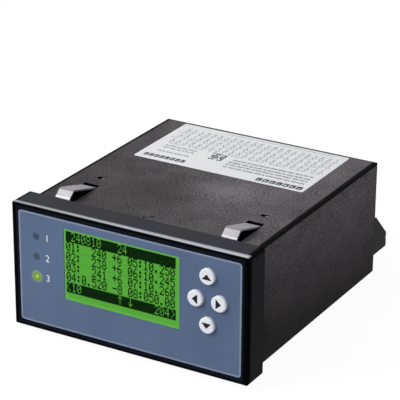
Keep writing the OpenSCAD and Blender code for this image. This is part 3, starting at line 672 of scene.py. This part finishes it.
@dataclass(frozen=True)
class SolderMaskBoard(Finish):
    """Glass-epoxy board under green solder mask, etched and silk-screened.

    Covered tracks show a little lighter than the bare laminate.
    """

    mask: str = "#14532f"
    mask_pale: str = "#175733"
    track: str = "#1f6a3d"
    track_mm: float = 0.25
    track_length_mm: float = 8.0
    # Rows of tracks are one pin pitch apart
    pin_pitch_mm: float = 2.54
    upright: bool = False

    def inputs(self, to: Shading) -> dict[str, Any]:
        """Make the tracks.

        Args:
            to: The material's nodes.

        Returns:
            Inputs of the shader.
        """
        turn = (math.pi / 2, 0, 0) if self.upright else (0, 0, 0)
        flat = to.add("Mapping", to.coords, named={
            "Rotation": turn, "Scale": (per_mm(1),) * 3})
        tracks = to.add("TexBrick", flat, self.mask, self.mask_pale, self.track, 1.0, named={
            "Mortar Size": self.track_mm, "Mortar Smooth": 0.2,
            "Brick Width": self.track_length_mm, "Row Height": self.pin_pitch_mm})
        bump = to.add("Bump", named={"Distance": 0.02 * MM, "Height": tracks.outputs[1]})
        return {"Base Color": tracks, "Roughness": 0.35, "Specular IOR Level": 0.4,
                "Normal": bump}


@dataclass(frozen=True)
class Palette:
    """Every finish of the instrument.

    A plastic's name is followed by the colours of its body, crests and clouds, and then by
    its roughness and specular level; a metal's by its bright and dull colour and roughness.
    """

    housing: Finish = HousingPlastic(
        "abs_spark_eroded_black", "#343234", "#676264", "#474446", 0.62, 0.03, grain_mm=0.7,
        depth_mm=0.03, cloud_mm=9)
    frame: Finish = FramePlastic(
        "abs_satin_black", "#3b3c41", "#424348", "#3e3f44", 0.42, 0.01, grain_mm=0.3,
        depth_mm=0.004, cloud_mm=20)
    foil: Finish = PrintedFilm("polyester_film_blue")
    window: Finish = ClearWindow("polyester_film_clear")
    display: Finish = LitDisplay("lcd_glass_lit")
    display_ink: Finish = Ink("lcd_dark_state", "#0a220a", "#0e2b0d", specular=0.01)
    display_shadow: Finish = Ink("lcd_shadow", "#39782a", "#40822f", specular=0.01)
    diffuser: Finish = MouldedPlastic(
        "acrylic_milky_moulded", "#dfe2d6", "#e8eadf", "#d8dccd", 0.4, 0.4)
    key: Finish = MouldedPlastic(
        "abs_satin_white", "#eceff6", "#f3f5fa", "#e7ebf3", 0.38, 0.3, grain_mm=0.3,
        depth_mm=0.002)
    black_ink: Finish = Ink("screen_ink_black", "#141418", "#1e1e23")
    plate_ink: Finish = Ink("thermal_ink_black", "#3b3c40", "#55565b")
    pale_ink: Finish = Ink("thermal_ink_pale", "#9599a1", "#a9adb4")
    white_ink: Finish = Ink("screen_ink_white", "#e6ebf3", "#d9dfe9")
    plate: Finish = MouldedPlastic(
        "polyester_label_white", "#fcfdff", "#ffffff", "#f8faff", 0.45, 0.25, grain_mm=0.3,
        depth_mm=0.001, cloud_mm=20)
    upper_lens: Finish = LampLens("acrylic_lens_unlit_upper", node="lamp_upper")
    middle_lens: Finish = LampLens(
        "acrylic_lens_unlit_middle", node="lamp_middle", core="#475164", ring="#566481")
    lower_lens: Finish = LampLens(
        "acrylic_lens_lit", core="#a6cf3a", ring="#6c8a32", lit=True, fade_end=0.62)
    # The clips get painted shade where they lie inside the housing
    spring: Finish = SheetMetal(
        "stainless_steel_rolled", "#a09ea1", "#777578", 0.5, painted_shade_within=22.2)
    zinc: Finish = SheetMetal(
        "steel_zinc_plated", "#c6c8cc", "#aeb1b8", 0.32, streak=(0.4, 0.4, 0.4))
    brass: Finish = SheetMetal(
        "brass_tinned", "#cfc08a", "#b3a26c", 0.35, streak=(0.5, 0.2, 0.5))
    plug: Finish = MouldedPlastic(
        "polyamide_black_moulded", "#1a1a1c", "#242427", "#1d1d20", 0.5, 0.05, grain_mm=0.35,
        depth_mm=0.01)
    black_part: Finish = MouldedPlastic(
        "epoxy_black_moulded", "#161618", "#202023", "#1a1a1d", 0.55, 0.3)
    blue_part: Finish = MouldedPlastic(
        "epoxy_blue_potted", "#1f3f7d", "#294b8b", "#1b3972", 0.35, 0.4)
    sleeve: Finish = MouldedPlastic(
        "shrink_sleeve_navy", "#1c1e38", "#232545", "#191b33", 0.3, 0.45)
    ceramic: Finish = MouldedPlastic(
        "steatite_pressed", "#d9d6c8", "#e3e0d3", "#d2cfc0", 0.45, 0.4, grain_mm=0.2)
    flat_board: Finish = SolderMaskBoard("glass_epoxy_board_flat")
    front_board: Finish = SolderMaskBoard("glass_epoxy_board_upright", upright=True)


PALETTE = Palette()


# Modelling

class Facing(Enum):
    """Which way a print faces, as the turn that brings a flat sheet there."""

    FRONT = (math.pi / 2, 0.0, 0.0)
    REAR = (math.pi / 2, 0.0, math.pi)
    TOP_READ_FROM_REAR = (0.0, 0.0, math.pi)


def deselect() -> None:
    """Deselect every object."""
    bpy.ops.object.select_all(action="DESELECT")


def settle(piece: Piece, name: str) -> Piece:
    """Name a finished piece and move its place into its mesh.

    Args:
        piece: The mesh object.
        name: Its new name.

    Returns:
        The same piece.
    """
    deselect()
    piece.select_set(True)
    bpy.context.view_layer.objects.active = piece
    bpy.ops.object.transform_apply()
    piece.name = piece.data.name = name
    return piece


def apply_modifier(piece: Piece, kind: str, **settings: Any) -> None:
    """Add a modifier and apply it.

    Args:
        piece: The active mesh object, in object mode.
        kind: Type name of the modifier.
        **settings: Attributes of the modifier.
    """
    modifier = piece.modifiers.new(kind.lower(), kind)
    for key, value in settings.items():
        setattr(modifier, key, value)
    bpy.ops.object.modifier_apply(modifier=modifier.name)


def pick_faces(piece: Piece, wanted: Callable[[Vector, Vector], bool]) -> None:
    """Enter edit mode with only some faces selected.

    Args:
        piece: The active mesh object, in object mode.
        wanted: Test of a face's centre and normal, both in the mesh's own axes.
    """
    bpy.ops.object.mode_set(mode="EDIT")
    bpy.ops.mesh.select_mode(type="FACE")
    bpy.ops.mesh.select_all(action="DESELECT")
    bpy.ops.object.mode_set(mode="OBJECT")
    for face in piece.data.polygons:
        face.select = wanted(face.center, face.normal)
    bpy.ops.object.mode_set(mode="EDIT")


def join(pieces: Sequence[Piece], name: str) -> Piece:
    """Join pieces into one and merge what meets.

    Args:
        pieces: The mesh objects.
        name: Name of the joined piece.

    Returns:
        The settled piece.
    """
    deselect()
    for piece in pieces:
        piece.select_set(True)
    bpy.context.view_layer.objects.active = pieces[0]
    bpy.ops.object.join()
    bpy.ops.object.mode_set(mode="EDIT")
    bpy.ops.mesh.select_all(action="SELECT")
    bpy.ops.mesh.remove_doubles(threshold=1e-6)
    bpy.ops.object.mode_set(mode="OBJECT")
    return settle(bpy.context.object, name)


def dress(**nodes: str) -> None:
    """Give CAD nodes their finishes through their material slots.

    Args:
        **nodes: By the name of a finish in the palette, the nodes that get it.
    """
    for key, names in nodes.items():
        finish: Finish = getattr(PALETTE, key)
        for name in names.split():
            for slot in frame["nodes"][name].material_slots:
                slot.material = finish.material()
            LOG.info("node %s: %s", name, finish.name)


def hand_over(piece: Piece, finish: Finish, slot: str, *nodes: str,
              body: str = "instrument") -> None:
    """Finish a new piece and fix it to the model.

    Args:
        piece: The settled mesh object.
        finish: Its finish.
        slot: Material slot of the record for the piece; not used.
        *nodes: CAD nodes that it stands for.
        body: CAD body that carries it.
    """
    piece.data.materials.clear()
    piece.data.materials.append(finish.material())
    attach(piece, body)
    if nodes:
        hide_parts(*nodes)
    LOG.info("piece %s: %d faces, on %s", piece.name, len(piece.data.polygons), body)


# Five columns of seven dots for each sign, the lowest bit at the top
DOT_SIGNS = {
    "0": "3E5149453E", "1": "00427F4000", "2": "4261514946", "3": "2141454B31",
    "4": "1814127F10", "5": "2745454539", "6": "3C4A494930", "7": "0171090503",
    "8": "3649494936", "9": "064949291E", ":": "0036360000", ".": "0060600000",
    "+": "08083E0808", "-": "0808080808", "<": "0814224100", ">": "0041221408",
    "^": "04027F0204", "v": "10207F2010",
}
SIGN_ROWS = 7
SIGN_PITCH = 6


@dataclass
class DotSheet:
    """A sheet of dots, of which only the inked ones are kept.

    Columns run to the reader's right and rows downwards, as on paper.
    """

    columns: int
    rows: int
    dot: Pair
    top_left: Point
    facing: Facing
    thickness: float
    ink: np.ndarray = field(init=False)

    def __post_init__(self) -> None:
        """Start with a bare sheet."""
        self.ink = np.zeros((self.rows, self.columns), bool)

    def bar(self, left: int, top: int, width: int, height: int, on: bool = True) -> None:
        """Ink or clear a rectangle of dots."""
        self.ink[top:top + height, left:left + width] = on

    def ring(self, column: float, row: float, radius: float, line: float = 1.0) -> None:
        """Ink a ring.

        Args:
            column: Column of its middle.
            row: Row of its middle.
            radius: Outer radius in dots.
            line: Width of its line in dots.
        """
        rows, columns = np.mgrid[:self.rows, :self.columns]
        off = np.hypot(rows - row, columns - column)
        self.ink |= (off <= radius) & (off > radius - line)

    def write(self, words: str, left: int, top: int, on: bool = True) -> None:
        """Ink or clear plain figures and signs.

        Args:
            words: Figures and signs of DOT_SIGNS; a space leaves its place as it is.
            left: Column of the first sign's left side.
            top: Row of the signs' upper side.
            on: True to ink them, False to clear them.
        """
        for place, sign in enumerate(words):
            for column, bits in enumerate(bytes.fromhex(DOT_SIGNS.get(sign, ""))):
                for row in range(SIGN_ROWS):
                    if bits >> row & 1:
                        self.ink[top + row, left + SIGN_PITCH * place + column] = on

    def build(self, name: str) -> Piece:
        """Model the sheet: a grid whose bare cells are deleted, given its thickness.

        Args:
            name: Name of the piece.

        Returns:
            The settled piece.
        """
        size = Vector((self.columns * self.dot[0], self.rows * self.dot[1], 0))
        turn = Euler(self.facing.value).to_matrix()
        middle = Vector(self.top_left) + turn @ Vector((size.x / 2, -size.y / 2, 0))
        deselect()
        bpy.ops.mesh.primitive_grid_add(
            x_subdivisions=self.columns, y_subdivisions=self.rows, size=1,
            location=middle * MM, rotation=self.facing.value)
        sheet = bpy.context.object
        pick_faces(sheet, lambda centre, _: not self.ink[
            int((0.5 - centre.y) * self.rows), int((centre.x + 0.5) * self.columns)])
        bpy.ops.mesh.delete(type="FACE")
        bpy.ops.object.mode_set(mode="OBJECT")
        sheet.scale = (size.x * MM, size.y * MM, 1)
        settle(sheet, name)
        apply_modifier(sheet, "SOLIDIFY", thickness=self.thickness * MM, offset=1)
        return sheet


# A figure of the built-in face is this share of its size high
FIGURE_SHARE = 0.73


def lettering(name: str, marks: Sequence[tuple[str, Point]], height: float, facing: Facing,
              thickness: float) -> Piece:
    """Set plain figures as raised print and join them into one piece.

    Args:
        name: Name of the piece.
        marks: Figures with the place of their middle.
        height: Height of a figure.
        facing: Which way the print faces.
        thickness: Thickness of the ink.

    Returns:
        The settled piece.
    """
    parts = []
    for words, at in marks:
        deselect()
        bpy.ops.object.text_add(location=Vector(at) * MM, rotation=facing.value)
        mark = bpy.context.object
        mark.data.body = words
        mark.data.size = height / FIGURE_SHARE * MM
        mark.data.align_x, mark.data.align_y = "CENTER", "CENTER"
        mark.data.extrude = thickness / 2 * MM
        mark.data.resolution_u = 4
        bpy.ops.object.convert(target="MESH")
        parts.append(settle(bpy.context.object, name))
    return join(parts, name)


def turned(name: str, axis: Pair, stations: Sequence[Pair],
           sides: int = 32) -> Piece:
    """Turn a round piece about an axis along Y, station by station.

    Args:
        name: Name of the piece.
        axis: X and Z of the axis.
        stations: Y and radius of each station, from the front to the rear.
        sides: Number of sides.

    Returns:
        The settled piece.
    """
    deselect()
    y, radius = stations[0]
    bpy.ops.mesh.primitive_circle_add(
        vertices=sides, radius=radius * MM, fill_type="NGON",
        location=Vector((axis[0], y, axis[1])) * MM, rotation=(math.pi / 2, 0, 0))
    piece = bpy.context.object
    bpy.ops.object.transform_apply()
    bpy.ops.object.mode_set(mode="EDIT")
    bpy.ops.mesh.select_all(action="SELECT")
    for next_y, next_radius in stations[1:]:
        bpy.ops.mesh.extrude_region_move(
            TRANSFORM_OT_translate={"value": (0, (next_y - y) * MM, 0)})
        growth = next_radius / radius
        bpy.ops.transform.resize(
            value=(growth, 1, growth),
            center_override=Vector((axis[0], next_y, axis[1])) * MM)
        y, radius = next_y, next_radius
    bpy.ops.mesh.select_all(action="SELECT")
    bpy.ops.mesh.normals_make_consistent(inside=False)
    bpy.ops.object.mode_set(mode="OBJECT")
    return settle(piece, name)


# Sub-assemblies

@dataclass
class Studio:
    """Pale floor, soft lamps, white surroundings and the photograph's camera."""

    camera_at: Point = (328.1, -527.2, 292.6)
    azimuth_deg: float = 30.08
    elevation_deg: float = 22.87
    roll_deg: float = 0.328
    lens_mm: float = 176.85
    floor_drop: float = 0.1
    floor_radius: float = 6000.0
    paper: str = "#bdbdbd"
    # How much of the floor's look is plain white to the eye, and how bright that is;
    # the rest is lit paper, which keeps the object's shadow
    floor_share: float = 0.8
    floor_white: float = 1.19
    sky: str = "#fafbff"
    sky_light: float = 0.3
    # Direction from the object, distance, side length, and light that reaches a surface
    # facing the lamp, where pi shows white as white
    lamps: Sequence[tuple[Point, float, float, float]] = (
        ((-0.55, -0.55, 0.63), 1000.0, 500.0, 2.4),
        ((0.2, -0.9, 0.4), 1200.0, 700.0, 0.5),
    )

    def build(self) -> None:
        """Make the camera, the floor, the lamps and the world."""
        self.add_camera()
        self.add_floor()
        self.add_lamps()
        self.add_world()
        bpy.context.scene.view_settings.view_transform = "Standard"

    def add_camera(self) -> None:
        """Place the camera as the photograph was taken."""
        azimuth, elevation, roll = (
            math.radians(angle)
            for angle in (self.azimuth_deg, self.elevation_deg, self.roll_deg))
        level = Euler((math.pi / 2 - elevation, 0, azimuth)).to_matrix()
        deselect()
        bpy.ops.object.camera_add()
        camera = bpy.context.object
        camera.name = "camera"
        camera.matrix_world = Matrix.LocRotScale(
            Vector(self.camera_at) * MM, level @ Matrix.Rotation(roll, 3, "Z"), None)
        camera.data.lens = self.lens_mm
        camera.data.sensor_width = 36
        camera.data.clip_start, camera.data.clip_end = 0.02, 50
        bpy.context.scene.camera = camera

    def add_floor(self) -> None:
        """Lay white paper just under the model, with its shadow, and clear from below."""
        deselect()
        bpy.ops.mesh.primitive_circle_add(
            vertices=64, radius=self.floor_radius * MM, fill_type="NGON",
            location=(0, 0, CAD_BOX[0].z - self.floor_drop * MM))
        floor = settle(bpy.context.object, "floor")
        material = bpy.data.materials.new("floor_paper")
        floor.data.materials.append(material)
        to = Shading(material)
        paper = to.add("BsdfDiffuse", self.paper)
        white = to.add("Emission", "#ffffff", self.floor_white)
        share = to.add("Math", self.seen(to), self.floor_share, operation="MULTIPLY")
        lit = to.add("MixShader", share, paper, white)
        below = to.add("NewGeometry").outputs["Backfacing"]
        both = to.add("MixShader", below, lit, to.add("BsdfTransparent"))
        to.add("OutputMaterial", both)

    def seen(self, to: Shading) -> Node:
        """Make a mask of what the eye meets, directly or through gloss or glass.

        Args:
            to: Nodes that the mask joins.

        Returns:
            Value that is 1 for such rays and 0 for those that light the object.
        """
        path = to.add("LightPath").outputs
        mask = to.add("Math", path["Is Camera Ray"], path["Is Glossy Ray"], operation="MAXIMUM")
        return to.add("Math", mask, path["Is Transmission Ray"], operation="MAXIMUM")

    def add_lamps(self) -> None:
        """Hang square softboxes that point at the object."""
        for number, (direction, distance, side, light) in enumerate(self.lamps):
            towards = Vector(direction).normalized()
            deselect()
            bpy.ops.object.light_add(
                type="AREA", location=towards * distance * MM,
                rotation=towards.to_track_quat("Z", "Y").to_euler())
            lamp = bpy.context.object
            lamp.name = f"softbox_{number}"
            lamp.data.shape = "SQUARE"
            lamp.data.size = side * MM
            lamp.data.energy = light * math.pi * (distance * MM) ** 2

    def add_world(self) -> None:
        """Surround the object with soft light that shows as white."""
        world = bpy.data.worlds.new("studio")
        bpy.context.scene.world = world
        to = Shading(world)
        soft = to.add("Background", self.sky, self.sky_light)
        white = to.add("Background", "#ffffff")
        to.add("OutputWorld", to.add("MixShader", self.seen(to), soft, white))


@dataclass
class FrontPanel:
    """Front frame with its blue foil and clear window."""

    def build(self) -> None:
        """Dress the frame, the foil and the window."""
        dress(frame="bezel", foil="front_foil", window="display_window")


@dataclass
class Display:
    """Lit display with six rows of figures; the first and last rows are reversed."""

    ink_t: float = 0.03
    signs: int = 21
    dots_down: int = 8
    # How far the dots' shadow lies to the right and down
    shadow: Pair = (0.15, 0.12)
    rows: Sequence[str] = (
        " 240810   24",
        "01:  240 +6 05:10.250",
        "02:  238 +6 06:10.245",
        "03:  241 +6 07:10.260",
        "04:0.520 -8 08:050.00",
        "<10       ^ v    204>",
    )

    def build(self) -> None:
        """Model the dots that are dark and dress what lies behind them."""
        low, high = box_mm("display_window")
        glass_y = box_mm("lcd_glass")[0].y
        sheet = DotSheet(
            self.signs * SIGN_PITCH, len(self.rows) * self.dots_down,
            (LAYOUT.sign_pitch / SIGN_PITCH, LAYOUT.row_pitch / self.dots_down),
            (low.x + LAYOUT.margin_left, glass_y, high.z - LAYOUT.margin_top),
            Facing.FRONT, self.ink_t)
        for number, words in enumerate(self.rows):
            reversed_row = number in (0, len(self.rows) - 1)
            top = number * self.dots_down
            if reversed_row:
                sheet.bar(0, top, sheet.columns, self.dots_down)
            sheet.write(words, 0, top, on=not reversed_row)
        hand_over(sheet.build("display_dots"), PALETTE.display_ink, "lcd_ink", "lcd_marks")
        # The dots throw a soft shadow on the lit layer behind them
        right, down = self.shadow
        x, y, z = sheet.top_left
        sheet.top_left, sheet.thickness = (x + right, y, z - down), self.ink_t / 2
        hand_over(sheet.build("display_shadow"), PALETTE.display_shadow, "lcd_ink")
        dress(display="lcd_glass", diffuser="backlight lcd_holder")


@dataclass
class Keypad:
    """Four round keys with arrows, over their switches."""

    places: Sequence[str] = ("up", "down", "left", "right")

    def build(self) -> None:
        """Dress the keys, their arrows and the switches."""
        for place in self.places:
            dress(key=f"key_{place}", black_ink=f"arrow_{place}")
        dress(black_part="key_switches")


@dataclass
class StatusLamps:
    """Three status lamps with a plain number beside each."""

    rows: Sequence[str] = ("upper", "middle", "lower")
    number_h: float = 2.75
    ink_t: float = 0.03

    def build(self) -> None:
        """Model the numbers and dress the lamps."""
        x = middle_mm("lamp_numbers").x
        y = box_mm("front_foil")[0].y - self.ink_t / 2
        marks = [(str(i + 1), (x, y, middle_mm(f"lamp_{row}").z))
                 for i, row in enumerate(self.rows)]
        numbers = lettering("lamp_figures", marks, self.number_h, Facing.FRONT, self.ink_t)
        hand_over(numbers, PALETTE.white_ink, "ink_white", "lamp_numbers")
        dress(upper_lens="lamp_upper", middle_lens="lamp_middle", lower_lens="lamp_lower",
              ceramic="lamp_leds")


@dataclass
class Housing:
    """Grained plastic housing and the spring clips in its windows."""

    clips: Sequence[str] = ("top_left", "top_right", "bottom_left", "bottom_right")

    def build(self) -> None:
        """Dress the housing and its clips."""
        dress(housing="housing", spring=" ".join(f"clip_{place}" for place in self.clips))


@dataclass
class TypePlate:
    """White type plate with generic print that reads from the rear.

    The print is fields, blocks and a plain numbered terminal row; it holds no wording.
    """

    dot: float = 0.25
    ink_t: float = 0.03
    # Blocks in the two places for headings: X of the first, how many, width in dots,
    # Y of the upper side, height in dots
    headings: Sequence[tuple[float, int, int, float, int]] = (
        (33.5, 7, 9, 53.4, 11), (-16.0, 8, 7, 54.3, 10))
    # Bars that stand for words: X where rows start and end, height in dots, number that
    # settles the first row, Y of each row's upper side
    texts: Sequence[tuple[float, float, int, int, Sequence[float]]] = (
        (32.0, -2.0, 5, 3, (58.3, 60.7, 63.1, 65.5)),
        (-17.6, -31.0, 4, 5, (60.2, 64.0, 66.4)))
    # Square code field: its corner, and the cells along a side, of two dots each
    code_at: Pair = (-5.0, 62.8)
    code_cells: int = 12
    # Terminal diagram: X of the first ring, Y of each row, and the rings' radius in dots
    diagram_x: float = 32.2
    diagram_rows: Sequence[float] = (71.4, 77.4, 83.4)
    terminals: int = 23
    terminal_pitch: float = 2.88
    ring_r: float = 3.3
    # Line under the diagram: its start and its length
    rule_at: Pair = (28.7, 88.5)
    rule_length: float = 45.7

    def dots(self, x: float, y: float) -> tuple[int, int]:
        """Column and row of a place; X runs against the columns, read from the rear."""
        low, high = box_mm("type_plate")
        return round((high.x - x) / self.dot), round((y - low.y) / self.dot)

    def words(self, sheet: DotSheet, x: float, y: float, end: float, height: int,
              seed: int) -> None:
        """Ink a row of short bars that stand for words.

        Args:
            sheet: Sheet that gets the bars.
            x: Where the row starts, on the reader's left.
            y: Upper side of the row.
            end: X where the row ends.
            height: Height of the bars in dots.
            seed: Number that settles the bars' lengths.
        """
        column, row = self.dots(x, y)
        last, _ = self.dots(end, y)
        step = seed
        while column < last - 2:
            step = (step * 7 + 5) % 11
            width = min(3 + step, last - column)
            for letter in range(column, column + width, 2):
                lower = 0 if (letter * 5 + seed) % 3 == 0 else 1
                sheet.bar(letter, row + lower, 1, height - lower)
            column += width + 2

    def diagram(self, sheet: DotSheet) -> None:
        """Ink rows of numbered rings, joined by lines, over a rule.

        Args:
            sheet: Sheet that gets them.
        """
        for shift, base in enumerate(self.diagram_rows):
            for i in range(self.terminals):
                column, row = self.dots(self.diagram_x - i * self.terminal_pitch, base)
                sheet.ring(column, row, self.ring_r)
                sheet.bar(column, row - 8, 1, 5)
                if (i + shift) % 3 != 1:
                    sheet.bar(column, row - 8, 12, 1)
                sheet.write(str((i + 1) % 10), column - 2, row + 5)
        sheet.bar(*self.dots(*self.rule_at), int(self.rule_length / self.dot), 1)

    def build(self) -> None:
        """Model the print and dress the plate."""
        low, high = box_mm("type_plate")
        columns, rows = self.dots(low.x, high.y)
        bold, fine = (
            DotSheet(columns, rows, (self.dot, self.dot), (high.x, low.y, high.z),
                     Facing.TOP_READ_FROM_REAR, self.ink_t) for _ in range(2))
        for start, count, wide, top, tall in self.headings:
            column, row = self.dots(start, top)
            for i in range(count):
                left = column + i * (wide + 2)
                bold.bar(left, row, wide, tall)
                bold.bar(left + 3, row + 3, wide - 5, 2 + i % 3, False)
        column, row = self.dots(*self.code_at)
        for i in range(self.code_cells):
            for j in range(self.code_cells):
                if (i * 5 + j * 3 + i * j) % 7 < 4 or i == 0 or j == self.code_cells - 1:
                    bold.bar(column + 2 * i, row + 2 * j, 2, 2)
        for start, end, height, seed, tops in self.texts:
            for i, top in enumerate(tops):
                self.words(bold, start, top, end, height, seed + i)
        self.diagram(fine)
        hand_over(bold.build("plate_headings"), PALETTE.plate_ink, "ink_black",
                  "type_plate_print")
        hand_over(fine.build("plate_fine_print"), PALETTE.pale_ink, "ink_black")
        dress(plate="type_plate")


@dataclass
class Terminals:
    """Plug-in screw terminals in their sockets, with plain pole numbers."""

    sides: Sequence[str] = ("left", "middle", "right")
    poles: int = 5
    pole_pitch: float = 5.08
    # Numbers stand this far behind the rear wall
    number_back: float = 2.5
    number_h: float = 1.8
    ink_t: float = 0.03

    def build(self) -> None:
        """Model the pole numbers and dress the plugs and what is in them."""
        y = box_mm("housing")[1].y + self.number_back
        for place, side in enumerate(self.sides):
            z = box_mm(f"plug_{side}")[1].z + self.ink_t / 2
            first = middle_mm(f"plug_{side}").x - self.poles // 2 * self.pole_pitch
            highest = self.poles * (len(self.sides) - place)
            marks = [(str(highest - pole), (first + pole * self.pole_pitch, y, z))
                     for pole in range(self.poles)]
            numbers = lettering(f"pole_numbers_{side}", marks, self.number_h,
                                Facing.TOP_READ_FROM_REAR, self.ink_t)
            hand_over(numbers, PALETTE.white_ink, "ink_white", body=f"plug_{side}")
            dress(plug=f"plug_{side}", zinc=f"screws_{side}", brass=f"clamps_{side}")
        dress(black_part="headers", brass="header_pins")


@dataclass
class EarthPoint:
    """Earth stud with a rolled thread, its nut and washer, and the mark beside it."""

    head_t: float = 2.0
    head_r: float = 4.5
    head_edge: float = 0.3
    neck_r: float = 1.6
    thread_r: float = 2.0
    root_r: float = 1.62
    thread_pitch: float = 0.7
    # The thread starts this far behind the nut, and the stud ends in a cone this long
    thread_gap: float = 0.2
    cone: float = 0.5
    ink_t: float = 0.03
    mark_dot: float = 0.3
    # The mark's upper left corner, seen from the stud's axis
    mark_off: Pair = (11.0, 2.0)

    def stations(self) -> list[Pair]:
        """Lay out the stud from its head to its end.

        Returns:
            Y and radius of each station.
        """
        low, high = box_mm("earth_stud")
        head_rear = low.y + self.head_t
        y = box_mm("earth_nut")[1].y + self.thread_gap
        found = [(low.y, self.head_r - self.head_edge), (low.y + self.head_edge, self.head_r),
                 (head_rear, self.head_r), (head_rear + 0.01, self.neck_r),
                 (y, self.neck_r)]
        while y + self.thread_pitch <= high.y - self.cone:
            found += [(y + self.thread_pitch * 0.4, self.thread_r),
                      (y + self.thread_pitch * 0.5, self.thread_r),
                      (y + self.thread_pitch, self.root_r)]
            y += self.thread_pitch
        return found + [(high.y - self.cone, self.root_r + 0.1), (high.y, self.root_r - 0.12)]

    def build(self) -> None:
        """Model the stud and the earth mark, and dress the fasteners."""
        at = middle_mm("earth_stud")
        stud = turned("threaded_stud", (at.x, at.z), self.stations())
        hand_over(stud, PALETTE.brass, "tinned_brass", "earth_stud")
        wall_y = box_mm("housing")[1].y
        right, up = self.mark_off
        mark = DotSheet(15, 12, (self.mark_dot,) * 2, (at.x + right, wall_y, at.z + up),
                        Facing.REAR, self.ink_t)
        mark.bar(7, 0, 1, 6)
        for i, width in enumerate((15, 9, 3)):
            mark.bar(7 - width // 2, 6 + 2 * i, width, 1)
        hand_over(mark.build("earth_mark"), PALETTE.white_ink, "ink_white")
        dress(zinc="earth_washer", brass="earth_nut")


@dataclass
class Boards:
    """Circuit boards and the parts on them."""

    legs: int = 12
    leg_pitch: float = 1.2
    # A leg's width, its length to the bend and its thickness
    leg: Point = (0.4, 0.7, 0.15)
    # How it goes on from there: down, then out as a foot
    bends: Sequence[Point] = ((0.0, 0.35, -0.62), (0.0, 0.55, 0.0))
    # Its middle lies this far outside the processor's side and over its lower face
    leg_out: float = 0.3
    leg_up: float = 0.7

    def processor_legs(self) -> Piece:
        """Model the processor's bent legs: one by hand, the rest as copies.

        Returns:
            The settled piece.
        """
        low, high = box_mm("processor")
        middle = (low + high) / 2
        sides = []
        for quarter in range(4):
            deselect()
            bpy.ops.mesh.primitive_cube_add(size=1, location=(0, 0, 0), scale=self.leg)
            leg = bpy.context.object
            bpy.ops.object.transform_apply()
            pick_faces(leg, lambda centre, normal: normal.y > 0.9)
            for bend in self.bends:
                bpy.ops.mesh.extrude_region_move(TRANSFORM_OT_translate={"value": bend})
            bpy.ops.object.mode_set(mode="OBJECT")
            start = -(self.legs - 1) / 2 * self.leg_pitch
            leg.location = (start, high.y - middle.y + self.leg_out, 0)
            bpy.ops.object.transform_apply()
            apply_modifier(leg, "ARRAY", count=self.legs, use_relative_offset=False,
                           use_constant_offset=True,
                           constant_offset_displace=(self.leg_pitch, 0, 0))
            leg.rotation_euler = (0, 0, quarter * math.pi / 2)
            bpy.ops.object.transform_apply()
            leg.scale = (MM, MM, MM)
            leg.location = Vector((middle.x, middle.y, low.z + self.leg_up)) * MM
            sides.append(settle(leg, "processor_legs"))
        return join(sides, "processor_legs")

    def build(self) -> None:
        """Model the processor's legs and dress the boards and their parts."""
        hand_over(self.processor_legs(), PALETTE.zinc, "zinc_steel")
        dress(front_board="front_board", flat_board="main_board upper_board",
              zinc="board_screws battery", brass="board_spacers fuse_clips",
              black_part="front_link board_link power_transformer processor memory_chips "
              "battery_holder", blue_part="input_transformers relays", sleeve="capacitors",
              ceramic="fuse")


def main() -> None:
    """Build the studio and every sub-assembly."""
    logging.basicConfig(level=logging.INFO, format="%(name)s: %(message)s")
    for part in (Studio(), FrontPanel(), Display(), Keypad(), StatusLamps(), Housing(),
                 TypePlate(), Terminals(), EarthPoint(), Boards()):
        LOG.info("building %s", type(part).__name__)
        part.build()


if __name__ == "__main__":
    main()
